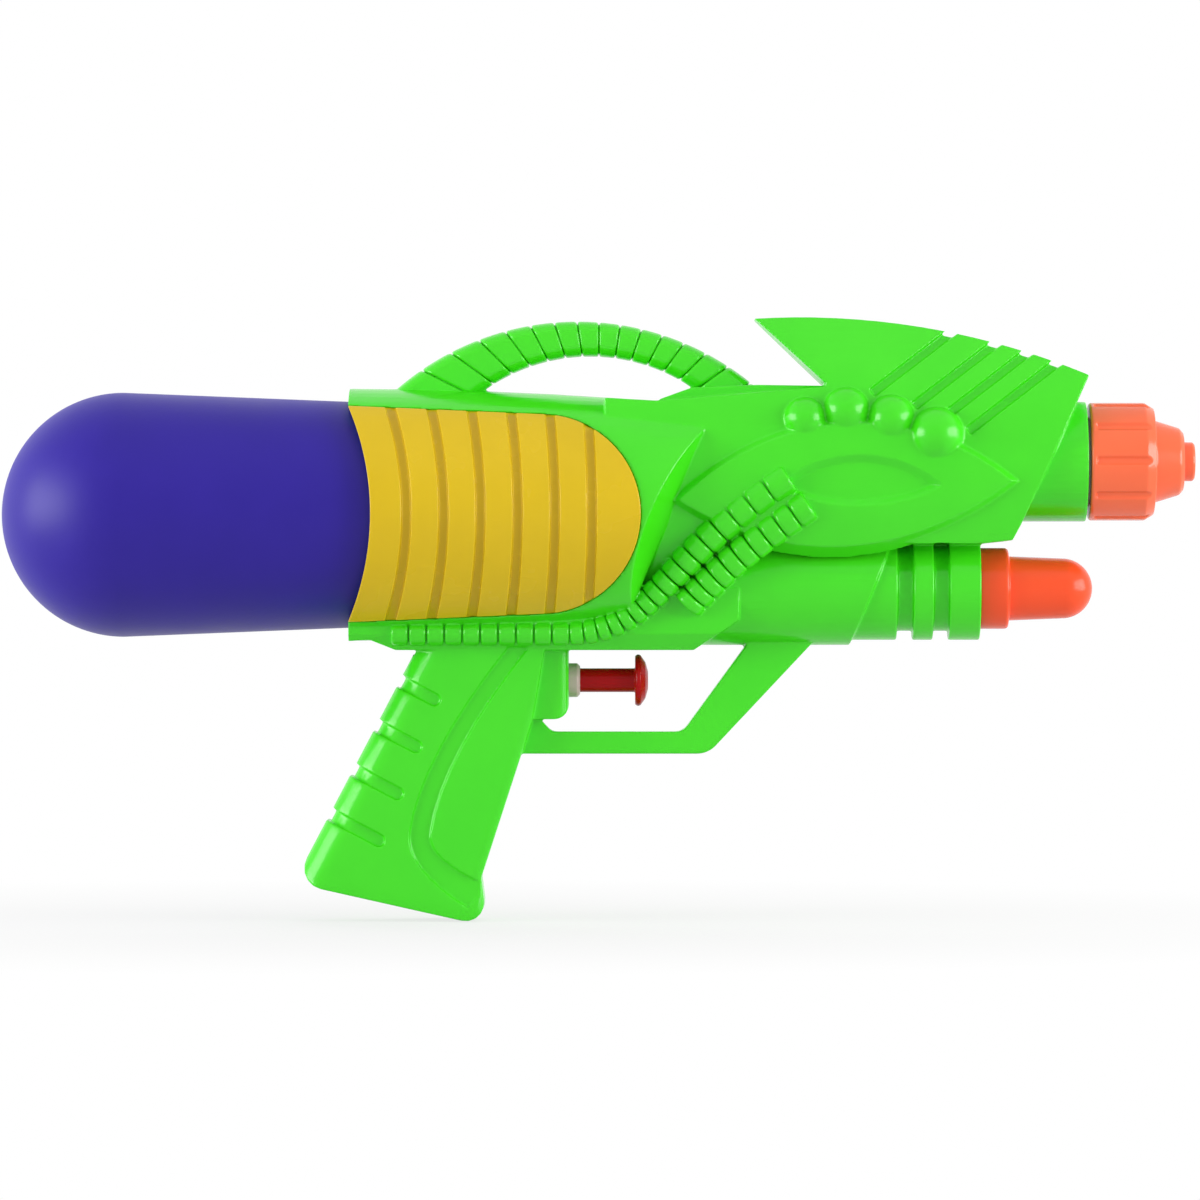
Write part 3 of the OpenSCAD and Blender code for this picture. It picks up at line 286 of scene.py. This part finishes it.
def soften(name, cell, passes, keep):
    mesh = frame["nodes"][name].data.copy()
    mesh.name = name + "_moulded"
    piece = bpy.data.objects.new(name + "_moulded", mesh)
    scene.collection.objects.link(piece)
    form = bmesh.new()
    form.from_mesh(mesh)
    bmesh.ops.remove_doubles(form, verts=form.verts, dist=WELD)
    bmesh.ops.recalc_face_normals(form, faces=form.faces)
    form.to_mesh(mesh)
    form.free()
    skin = piece.modifiers.new("skin", "REMESH")
    skin.mode = "VOXEL"
    skin.voxel_size = cell
    relax = piece.modifiers.new("relax", "SMOOTH")
    relax.factor = 0.5
    relax.iterations = passes
    thin = piece.modifiers.new("thin", "DECIMATE")
    thin.ratio = 1.0
    depsgraph = bpy.context.evaluated_depsgraph_get()
    full = len(piece.evaluated_get(depsgraph).data.polygons) * 2
    thin.ratio = min(1.0, keep / full)
    depsgraph = bpy.context.evaluated_depsgraph_get()
    done = bpy.data.meshes.new_from_object(piece.evaluated_get(depsgraph))
    piece.modifiers.clear()
    piece.data = done
    unfold(done)
    done.shade_smooth()
    done.materials.clear()
    done.materials.append(FINISH[SLOT[name]])
    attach(piece, BODY[name])
    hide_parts(name)
    print(piece.name, full, "->", len(done.polygons), "faces")


for side in ("right", "left"):
    soften(side + "_shell", 0.36 * MM, passes=3, keep=195000)
for side in ("right", "left"):
    soften(side + "_panel", 0.25 * MM, passes=4, keep=120000)
soften("nozzle_cap", 0.25 * MM, passes=6, keep=80000)
soften("trigger_plunger", 0.2 * MM, passes=5, keep=40000)
soften("pump_gland", 0.15 * MM, passes=4, keep=30000)
soften("nozzle_tip", 0.2 * MM, passes=4, keep=40000)

# %% [markdown]
# Every new piece is finished in the same way: doubles are merged, faces turned outwards, edges over an
# angle kept sharp, and the piece rides on the body of the solid that it stands for. A piece that only
# lies over its solid does not replace it.

# %% finish a piece
EDGE_ANGLE, MERGE = math.radians(40), 1e-7


def put(name, form, material, node_name, stands_in=True):
    bmesh.ops.remove_doubles(form, verts=form.verts, dist=MERGE)
    bmesh.ops.recalc_face_normals(form, faces=form.faces)
    mesh = bpy.data.meshes.new(name)
    form.to_mesh(mesh)
    form.free()
    piece = bpy.data.objects.new(name, mesh)
    scene.collection.objects.link(piece)
    mesh.materials.append(material)
    mesh.shade_smooth()
    mesh.set_sharp_from_angle(angle=EDGE_ANGLE)
    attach(piece, BODY[node_name])
    if stands_in:
        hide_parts(node_name)
    print(name, len(mesh.polygons), "faces")
    return piece


print("edges over", round(math.degrees(EDGE_ANGLE)), "degrees stay sharp")

# %% [markdown]
# Round pieces are turned: a profile of (x, radius) points, its corners rounded by short curves, is spun
# once round the piece's own axis. A turned skin is truly round from every side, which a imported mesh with
# its few flats is not. The heights of the axes are read off the frame's solids.

# %% turned pieces
def axis_height(name):
    corners = [Vector(c) for c in frame["nodes"][name].bound_box]
    return (corners[0].z + corners[6].z) / 2


def rounded(points, steps=6):
    made = []
    for i, (x, r, radius) in enumerate(points):
        here = Vector((x, r))
        if radius == 0 or i in (0, len(points) - 1):
            made.append((x, r))
            continue
        before = (Vector(points[i - 1][:2]) - here).normalized()
        after = (Vector(points[i + 1][:2]) - here).normalized()
        half = before.angle(after) / 2
        cut = radius / math.tan(half)
        start, end = here + before * cut, here + after * cut
        for k in range(steps + 1):
            t = k / steps
            point = start * (1 - t) ** 2 + here * 2 * t * (1 - t) + end * t ** 2
            made.append((point.x, point.y))
    return made


def spun(profile, height, turns=120):
    form = bmesh.new()
    points = [form.verts.new((x * MM, 0, r * MM)) for x, r in profile]
    line = [form.edges.new(pair) for pair in zip(points, points[1:])]
    bmesh.ops.spin(form, geom=points + line, axis=(1, 0, 0), cent=(0, 0, 0), dvec=(0, 0, 0),
                   angle=math.tau, steps=turns, use_merge=True)
    bmesh.ops.translate(form, verts=form.verts, vec=(0, 0, height))
    return form


for name in ("tank", "muzzle_plug", "nozzle_pipe"):
    print(name, "turns about z =", round(axis_height(name), 4), "m")

# %% [markdown]
# The tank is a blow-moulded bottle: a half ball behind, a body that narrows slightly towards the
# housing, a rolled shoulder and a neck. Its wall is real, so the unscrewed tank can be looked into.

# %% tank
TANK_END, DOME_R, MOUTH_R = -121.3, 33.8, 30.865
SHOULDER, NECK_ROOT, NECK_END = -14.0, -2.0, 12.0
NECK_R, TANK_WALL, NECK_BORE = 12.5, 1.5, 10.0
ROLL_X, ROLL_DROP, ROLL_R, ROOT_STEP = 3.2, 3.0, 3.0, 1.6
DOME_X = TANK_END + DOME_R


def dome(radius, steps=40):
    return [(DOME_X - radius * math.cos(a), radius * math.sin(a))
            for a in (math.pi / 2 * k / steps for k in range(steps))]


outer = rounded([(DOME_X, DOME_R, 0), (SHOULDER, MOUTH_R, ROLL_R + 1),
                 (SHOULDER + ROLL_X, MOUTH_R - ROLL_DROP, ROLL_R),
                 (NECK_ROOT, NECK_R + ROOT_STEP, 0.8), (NECK_ROOT + 1, NECK_R, 0.5),
                 (NECK_END, NECK_R, 0.4), (NECK_END, NECK_BORE, 0)])
inner = rounded([(NECK_END, NECK_BORE, 0), (NECK_ROOT - 0.5, NECK_BORE, 0.5),
                 (SHOULDER + ROLL_X - TANK_WALL, MOUTH_R - ROLL_DROP - TANK_WALL, ROLL_R),
                 (SHOULDER - TANK_WALL, MOUTH_R - TANK_WALL, ROLL_R),
                 (DOME_X, DOME_R - TANK_WALL, 0)])
skin = dome(DOME_R) + outer + inner[1:] + dome(DOME_R - TANK_WALL)[::-1]
put("tank_bottle", spun(skin, axis_height("tank")), purple, "tank")

# %% [markdown]
# The muzzle plug is a plain turned dummy: a collar against the lower barrel and a round-nosed body.
# In the photograph its orange is a little redder than the nozzle's.

# %% muzzle plug
PLUG_X, PLUG_LEN, COLLAR_R, COLLAR_T, STUB_R, STUB = 149.3, 31.3, 11.2, 8.0, 9.5, 11.0
BODY_R, NOSE_R = 8.9, 8.3
plug_nose = [(PLUG_X + PLUG_LEN - NOSE_R + NOSE_R * math.sin(a), NOSE_R * math.cos(a))
             for a in (math.pi / 2 * k / 24 for k in range(25))]
plug = rounded([(PLUG_X - STUB, 0, 0), (PLUG_X - STUB, STUB_R, 0.6), (PLUG_X, STUB_R, 0),
                (PLUG_X, COLLAR_R, 0.4), (PLUG_X + COLLAR_T, COLLAR_R, 1.2),
                (PLUG_X + COLLAR_T, BODY_R, 0.5), (PLUG_X + PLUG_LEN - NOSE_R, NOSE_R, 0)])
put("plug_turned", spun(plug + plug_nose[1:], axis_height("muzzle_plug")), plug_orange, "muzzle_plug")

# %% [markdown]
# Two ribbed pipes climb the side of each half. The solids hold them as rows of short plain rods, and
# in the mould every rod is a fat rounded bead that nearly touches the next. Each bead is turned and
# laid over its rod: the row follows the same straight run and the same two curves.

# %% ribbed pipes
RUN_START, RUN_END = Vector((-13.3, -14.6, 33.8)), Vector((36.0, -14.6, 33.8))
CLIMB = (RUN_END, (60.0, -16.6, 34.0), (62.0, -18.6, 55.8), (96.3, -20.4, 76.6))
SHORT = ((67.9, -15.9, 41.3), (75.4, -17.3, 49.7), (87.4, -18.9, 59.7), (101.9, -20.4, 69.2))
RUN_BEADS, CLIMB_BEADS, SHORT_BEADS = 10, 17, 10
THIN_R, FAT_R, BEAD_OVER, BEAD_GAP, BEAD_EDGE, BEAD_SIDES = 3.3, 4.5, 0.05, 0.2, 1.2, 28


def curve(points, count):
    made = []
    for k in range(count + 1):
        row = [Vector(p) for p in points]
        while len(row) > 1:
            row = [a.lerp(b, k / count) for a, b in zip(row, row[1:])]
        made += row
    return made


def bead(form, start, end, radius, flip):
    run = end - start
    span = run.length - BEAD_GAP
    made = spun(rounded([(-span / 2, 0, 0), (-span / 2, radius, BEAD_EDGE), (span / 2, radius, BEAD_EDGE),
                         (span / 2, 0, 0)]), 0, turns=BEAD_SIDES)
    turn = Vector((1, 0, 0)).rotation_difference(run).to_matrix().to_4x4()
    place = Matrix.Translation((start + end) / 2 * MM) @ turn
    bmesh.ops.transform(made, matrix=Matrix.Diagonal((1, flip, 1, 1)) @ place, verts=made.verts)
    mesh = bpy.data.meshes.new("bead")
    made.to_mesh(mesh)
    made.free()
    form.from_mesh(mesh)
    bpy.data.meshes.remove(mesh)


ROWS = (
    (curve((RUN_START, RUN_END), RUN_BEADS), THIN_R, THIN_R),
    (curve(CLIMB, CLIMB_BEADS), THIN_R, FAT_R),
    (curve(SHORT, SHORT_BEADS), FAT_R, FAT_R),
)
for side, flip in (("right", 1), ("left", -1)):
    form = bmesh.new()
    for row, first, last in ROWS:
        for i, (start, end) in enumerate(zip(row, row[1:])):
            radius = first + (last - first) * i / (len(row) - 2)
            bead(form, start, end, radius + BEAD_OVER, flip)
    put("ribbed_pipes_" + side, form, green, side + "_shell", stands_in=False)

# %% [markdown]
# The handle's rings, the hoses and the spring's wire are lofted: a closed outline is set down again and
# again along a path, and each pair of neighbours is joined by a band of faces, corner to corner. A curve
# with a bevel would be shorter to write, but here every outline has a size of its own, so the faces are
# made one by one.

# %% lofted forms
def band(form, here, there):
    for j in range(len(here)):
        form.faces.new((here[j - 1], here[j], there[j], there[j - 1]))


def loft(form, outlines):
    rows = [[form.verts.new(point * MM) for point in outline] for outline in outlines]
    for here, there in zip(rows, rows[1:]):
        band(form, here, there)
    return rows


def close_ends(form, rows):
    form.faces.new(rows[0])
    form.faces.new(rows[-1])


print("loft: outlines in millimetres, joined corner to corner")

# %% [markdown]
# The carry handle is a crescent between two arcs, and rays from one point divide it into short rings.
# The solids hold each ring with flat chamfers, while the mould rounds it. So the section here is a half
# of a full oval, one for each half of the housing, so that the parting line stays. It runs from the
# inner arc to the outer one, and its foot ends inside the housing's wall.

# %% handle section
HANDLE_OUT, HANDLE_IN = ((38.1, 43.7), 76.2), ((41.6, 60.0), 50.4)
FAN_X, FAN_Z, FOOT_Z = 44.0, 81.5, 100.0
HANDLE_HALF, CORNER, FULLNESS, RING_OVER, PARTING, QUARTER_STEPS = 5.5, 3.4, 2.2, 0.12, 0.05, 10


def ray_length(angle, bow):
    (x, z), radius = bow
    away = Vector((FAN_X - x, FAN_Z - z))
    along = away.dot(Vector((math.cos(angle), math.sin(angle))))
    return math.sqrt(along ** 2 - away.length_squared + radius ** 2) - along


def half_section(angle, inset, flip):
    high = ray_length(angle, HANDLE_OUT) + RING_OVER - inset
    low = ray_length(angle, HANDLE_IN) - RING_OVER + inset
    half = HANDLE_HALF + RING_OVER - inset
    edge = []
    for k in range(QUARTER_STEPS + 1):
        q = math.pi / 2 * k / QUARTER_STEPS
        drop = CORNER * (1 - max(0.0, math.cos(q)) ** (2 / FULLNESS))
        edge.append((half * math.sin(q) ** (2 / FULLNESS), drop))
    line = [(y, high - drop) for y, drop in edge] + [(y, low + drop) for y, drop in reversed(edge)]
    return [Vector((FAN_X + r * math.cos(angle), flip * max(y, PARTING),
                    max(FOOT_Z, FAN_Z + r * math.sin(angle)))) for y, r in line]


print("handle: top at", round(max(p.z for p in half_section(math.pi / 2, 0, 1)), 1), "mm")

# %% [markdown]
# Each ring carries the section across its share of the crescent and draws it in at both ends along a
# quarter circle, which leaves the soft groove between two rings. Rings that would lie wholly inside the
# housing are left out.

# %% handle rings
RINGS, RING_GAP, RING_EDGE = 20, 0.12, 0.75
ACROSS = (0, 0.02, 0.05, 0.1, 0.2, 0.35, 0.5, 0.65, 0.8, 0.9, 0.95, 0.98, 1)


def handle_ring(form, index, flip):
    middle = math.pi * (index + 0.5) / RINGS
    mean = (ray_length(middle, HANDLE_OUT) + ray_length(middle, HANDLE_IN)) / 2
    span = math.pi / RINGS * mean - RING_GAP
    outlines = []
    for t in ACROSS:
        near = max(0.0, RING_EDGE - span * min(t, 1 - t))
        inset = RING_EDGE - math.sqrt(RING_EDGE ** 2 - near ** 2)
        outlines.append(half_section(middle + (t - 0.5) * span / mean, inset, flip))
    if max(point.z for outline in outlines for point in outline) > FOOT_Z + 1:
        close_ends(form, loft(form, outlines))


for side, flip in (("right", -1), ("left", 1)):
    form = bmesh.new()
    for index in range(RINGS):
        handle_ring(form, index, flip)
    put("handle_rings_" + side, form, green, side + "_shell", stands_in=False)

# %% [markdown]
# The nozzle pipe carries the thread for the cap, which shows when the cap is unscrewed. It is turned
# plain first, then every vertex on the threaded stretch sinks by a wave that winds round the axis.

# %% nozzle pipe
PIPE_X0, PIPE_X1, PIPE_R, PIPE_BORE, BORE_X, PIPE_SIDES = 160.0, 191.0, 12.0, 2.5, 162.0, 96
FLANGE, FLANGE_R, BARB_X, BARB_R, BARB_BORE = (170.0, 173.0), 14.25, 154.0, 1.15, 0.7
THREAD, THREAD_PITCH, THREAD_DEPTH, THREAD_STEPS, RUNOUT = (180.2, 190.4), 3.0, 0.7, 60, 1.2
threads = [(THREAD[0] + (THREAD[1] - THREAD[0]) * k / THREAD_STEPS, PIPE_R)
           for k in range(THREAD_STEPS + 1)]
pipe = [(BARB_X, BARB_BORE), (BARB_X, BARB_R), (PIPE_X0, BARB_R)]
pipe += rounded([(PIPE_X0, BARB_R, 0), (PIPE_X0, PIPE_R, 0.8), (FLANGE[0], PIPE_R, 0.3),
                 (FLANGE[0], FLANGE_R, 0.4), (FLANGE[1], FLANGE_R, 0.4), (FLANGE[1], PIPE_R, 0.3),
                 (THREAD[0], PIPE_R, 0)])[1:]
pipe += threads[1:]
pipe += rounded([(THREAD[1], PIPE_R, 0), (PIPE_X1, PIPE_R, 0.3), (PIPE_X1, PIPE_BORE, 0.3),
                 (BORE_X, PIPE_BORE, 0)])[1:]
pipe += [(BORE_X, BARB_BORE), (BARB_X, BARB_BORE)]
form = spun(pipe, 0, turns=PIPE_SIDES)
for vert in form.verts:
    x, y, z = (c / MM for c in vert.co)
    if THREAD[0] < x < THREAD[1] and math.hypot(y, z) > PIPE_R - 0.1:
        wave = math.sin(math.tau * ((x - THREAD[0]) / THREAD_PITCH - math.atan2(z, y) / math.tau))
        fade = min(1.0, (x - THREAD[0]) / RUNOUT, (THREAD[1] - x) / RUNOUT)
        sink = THREAD_DEPTH * fade * min(1.0, max(0.0, 0.5 - wave))
        vert.co.yz *= 1 - sink / PIPE_R
bmesh.ops.translate(form, verts=form.verts, vec=(0, 0, axis_height("nozzle_pipe")))
put("threaded_pipe", form, natural, "nozzle_pipe")

# %% [markdown]
# Hoses are swept: a round outline is carried along a path of points, once for the skin and once for the
# bore, and the ends are closed between the two. The paths follow the solids: straight stretches joined
# by arcs.

# %% swept hoses
HOSE_SIDES = 28


def circle(count):
    return [math.tau * j / count for j in range(count)]


def arc(centre_x, centre_z, radius, start, end, steps=16):
    angles = (math.radians(start + (end - start) * k / steps) for k in range(steps + 1))
    return [Vector((centre_x + radius * math.cos(a), 0, centre_z + radius * math.sin(a))) for a in angles]


def spaced(path, step=1.0):
    made = []
    for a, b in zip(path, path[1:]):
        count = max(1, round((b - a).length / step))
        made += [a.lerp(b, k / count) for k in range(count)]
    return made + [path[-1]]


def swept(path, radii):
    form = bmesh.new()
    walls = ([], [])
    across = Vector((0, 1, 0))
    for i, point in enumerate(path):
        ahead = (path[min(i + 1, len(path) - 1)] - path[max(i - 1, 0)]).normalized()
        up = ahead.cross(across)
        for wall, radius in zip(walls, radii[i]):
            wall.append([point + (across * math.cos(a) + up * math.sin(a)) * radius
                         for a in circle(HOSE_SIDES)])
    skin, bore = (loft(form, wall) for wall in walls)
    for end in (0, -1):
        band(form, skin[end], bore[end])
    return form


print("hoses have", HOSE_SIDES, "sides")

# %% [markdown]
# The dip tube leaves the socket along the tank's axis, bends down in one arc and ends a little over the
# tank's floor, so that it reaches the last of the water.

# %% dip tube
AXIS_Z, DIP_X0, DIP_R, DIP_BORE = 66.5, 15.05, 2.15, 1.2
DIP_BEND_X, DIP_BEND_R, DIP_FALL, DIP_CLEAR = -25.9, 30.0, 35.0, 5.2
fall = math.radians(DIP_FALL)
dip = [Vector((DIP_X0, 0, AXIS_Z))]
dip += arc(DIP_BEND_X, AXIS_Z - DIP_BEND_R, DIP_BEND_R, 90, 90 + DIP_FALL)
drop = DOME_R - TANK_WALL - DIP_CLEAR - DIP_BEND_R * (1 - math.cos(fall))
dip.append(dip[-1] - Vector((math.cos(fall), 0, math.sin(fall))) * drop / math.sin(fall))
dip = spaced(dip)
put("dip_tube_swept", swept(dip, [(DIP_R, DIP_BORE)] * len(dip)), hose, "dip_tube")

# %% [markdown]
# The suction hose joins the socket to the pump in an S of two equal arcs. A hose pushed over a barb
# swells there, so its radius grows a little at both ends.

# %% suction hose
HOSE_R, HOSE_BORE, SWELL, BARB_GRIP, FINE_STEP = 2.1, 1.2, 0.1, 3.5, 0.6
BARB_TOP, BARB_LOW, SOCKET_X, INLET_X = 47.4, 35.73, 15.9, 6.5


def swelling(path, barb_points):
    last = len(path) - 1
    nearest = (min(i, last - i) for i in range(len(path)))
    return [(HOSE_R + SWELL * max(0.0, 1 - i / barb_points), HOSE_BORE) for i in nearest]


sway = 2 * math.degrees(math.atan2(SOCKET_X - INLET_X, BARB_TOP - BARB_LOW))
sway_r = (BARB_TOP - BARB_LOW) / (2 * math.sin(math.radians(sway)))
suction = [Vector((SOCKET_X, 0, BARB_TOP + BARB_GRIP))]
suction += arc(SOCKET_X - sway_r, BARB_TOP, sway_r, 0, -sway)
suction += arc(INLET_X + sway_r, BARB_LOW, sway_r, 180 - sway, 180)[1:]
suction = spaced(suction + [Vector((INLET_X, 0, BARB_LOW - BARB_GRIP))], FINE_STEP)
put("suction_swept", swept(suction, swelling(suction, barb_points=6)), hose, "suction_hose")

# %% [markdown]
# The delivery hose climbs from the pump at 45 degrees, bends once and runs along the barrel's axis to
# the nozzle pipe's barb.

# %% delivery hose
BARREL_Z, OUTLET_X, OUTLET_Z = 81.2, 15.86, 32.06
RISE_BEND_X, RISE_BEND_R, DELIVERY_END = 81.57, 40.0, 159.9
delivery = [Vector((OUTLET_X, 0, OUTLET_Z))]
delivery += arc(RISE_BEND_X, BARREL_Z - RISE_BEND_R, RISE_BEND_R, 135, 90)
delivery = spaced(delivery + [Vector((DELIVERY_END, 0, BARREL_Z))])
put("delivery_swept", swept(delivery, swelling(delivery, barb_points=5)), hose, "delivery_hose")

# %% [markdown]
# The return spring is one round wire wound on a helix. When the trigger is pushed it shortens to under
# half its length; here it is wound at rest, rides on its body and gets a mesh of its own.

# %% return spring
COIL_R, WIRE_R, COILS, SPRING_X0, SPRING_X1, STROKE = 3.3, 0.38, 8, 1.45, 24.05, 13.0
PUMP_Z, WIND_STEPS, WIRE_SIDES = 20.7, 32 * COILS, 12
SPRING_LEN = SPRING_X1 - SPRING_X0
wire = []
for i in range(WIND_STEPS + 1):
    turn = math.tau * COILS * i / WIND_STEPS
    x = SPRING_X0 + SPRING_LEN * i / WIND_STEPS
    outline = []
    for b in circle(WIRE_SIDES):
        r = COIL_R + WIRE_R * math.cos(b)
        outline.append(Vector((x + WIRE_R * math.sin(b), r * math.cos(turn), PUMP_Z + r * math.sin(turn))))
    wire.append(outline)
form = bmesh.new()
close_ends(form, loft(form, wire))
spring = put("wound_spring", form, steel, "return_spring")
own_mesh(spring)

# %% [markdown]
# The case screws sit in the left half. A head is a flat turned pan and a shank a plain turned pin with a
# short point. The cross recess is cut by a boolean with two crossed bars that lie on edge, so that its
# walls slant as a driver's tip does.

# %% one screw
SEAT_Y, HEAD_R, HEAD_T, RIM, CROWN_R, SHANK_R, SHANK, POINT = 4.0, 2.4, 1.7, 1.2, 2.04, 1.2, 12.0, 2.0
RECESS_LEN, RECESS_W, SCREW_SIDES = 3.1, 0.75, 40
TIP_Y, TOP_Y = SEAT_Y - SHANK, SEAT_Y + HEAD_T
blank = spun(rounded([(TIP_Y, 0, 0), (TIP_Y + POINT, SHANK_R, 0.4), (SEAT_Y, SHANK_R, 0),
                      (SEAT_Y, HEAD_R, 0.1), (SEAT_Y + RIM, HEAD_R, 0.3), (TOP_Y, CROWN_R, 0.2),
                      (TOP_Y, 0, 0)]), 0, turns=SCREW_SIDES)
bmesh.ops.remove_doubles(blank, verts=blank.verts, dist=MERGE)
bmesh.ops.rotate(blank, verts=blank.verts, cent=(0, 0, 0), matrix=Matrix.Rotation(math.pi / 2, 3, "Z"))
bmesh.ops.recalc_face_normals(blank, faces=blank.faces)
cross = bmesh.new()
bar = Matrix.Rotation(math.pi / 4, 4, "X")
bar @= Matrix.Diagonal((RECESS_LEN * MM, RECESS_W * MM, RECESS_W * MM, 1))
for turn in (0, math.pi / 2):
    place = Matrix.Translation((0, TOP_Y * MM, 0)) @ Matrix.Rotation(turn, 4, "Y")
    bmesh.ops.create_cube(cross, size=1, matrix=place @ bar)
tools = []
for name, made in (("blank", blank), ("cross", cross)):
    mesh = bpy.data.meshes.new(name)
    made.to_mesh(mesh)
    made.free()
    tools.append(bpy.data.objects.new(name, mesh))
    scene.collection.objects.link(tools[-1])
cut = tools[0].modifiers.new("recess", "BOOLEAN")
cut.operation = "DIFFERENCE"
cut.solver = "EXACT"
cut.use_self = True
cut.object = tools[1]
depsgraph = bpy.context.evaluated_depsgraph_get()
screw = bpy.data.meshes.new_from_object(tools[0].evaluated_get(depsgraph))
for tool in tools:
    bpy.data.objects.remove(tool)
print("one screw:", len(screw.polygons), "faces")

# %% [markdown]
# Six copies of the screw stand at the places of the bosses. They are one node in the solids, so they are
# one piece here as well.

# %% case screws
SCREWS = ((-14, -31), (-7, 4.5), (67.7, 37.6), (99.7, 46.1), (117.7, 109.5), (61.7, 91.5))
form = bmesh.new()
for x, z in SCREWS:
    before = len(form.verts)
    form.from_mesh(screw)
    form.verts.ensure_lookup_table()
    bmesh.ops.translate(form, verts=form.verts[before:], vec=(x * MM, 0, z * MM))
put("cross_head_screws", form, steel, "case_screws")

# %% [markdown]
# The floor is one wide pale sheet under the grip. To the camera it glows white, as in the photograph,
# but near the object a share of real diffuse reflection is mixed in, so that the soft shadow stays.
# Farther off the glow takes over completely, so that no horizon shows against the white world.

# %% floor
FLOOR_SIZE, FLOOR_GAP, FLOOR_TONE, FLOOR_ROUGH = 12, 0.0002, (0.60, 0.60, 0.60, 1), 0.9
SHADOW_NEAR, SHADOW_FAR, GLOW_NEAR = 0.05, 0.30, 0.75
bpy.ops.mesh.primitive_plane_add(size=FLOOR_SIZE, location=(0, 0, cad_box[0][2] - FLOOR_GAP))
floor = bpy.context.object
floor.name = "floor"
paper = bpy.data.materials.new("paper")
paper.use_nodes = True
tree = paper.node_tree
sheet = tree.nodes["Principled BSDF"]
sheet.inputs["Base Color"].default_value = FLOOR_TONE
sheet.inputs["Roughness"].default_value = FLOOR_ROUGH
glow = node(tree, "ShaderNodeEmission", Color=WHITE, Strength=1.0)
where = tree.nodes.new("ShaderNodeTexCoord")
far = tree.nodes.new("ShaderNodeVectorMath")
far.operation = "LENGTH"
tree.links.new(where.outputs["Object"], far.inputs[0])
share = node(tree, "ShaderNodeMapRange", From_Min=SHADOW_NEAR, From_Max=SHADOW_FAR, To_Min=GLOW_NEAR,
             To_Max=1.0)
tree.links.new(far.outputs["Value"], share.inputs["Value"])
amount = tree.nodes.new("ShaderNodeMath")
amount.operation = "MULTIPLY"
tree.links.new(looking_rays(tree), amount.inputs[0])
tree.links.new(share.outputs["Result"], amount.inputs[1])
mix = tree.nodes.new("ShaderNodeMixShader")
tree.links.new(amount.outputs[0], mix.inputs["Fac"])
tree.links.new(sheet.outputs[0], mix.inputs[1])
tree.links.new(glow.outputs[0], mix.inputs[2])
tree.links.new(mix.outputs[0], tree.nodes["Material Output"].inputs["Surface"])
floor.data.materials.append(paper)
print("floor at", round(floor.location.z, 4), "m")
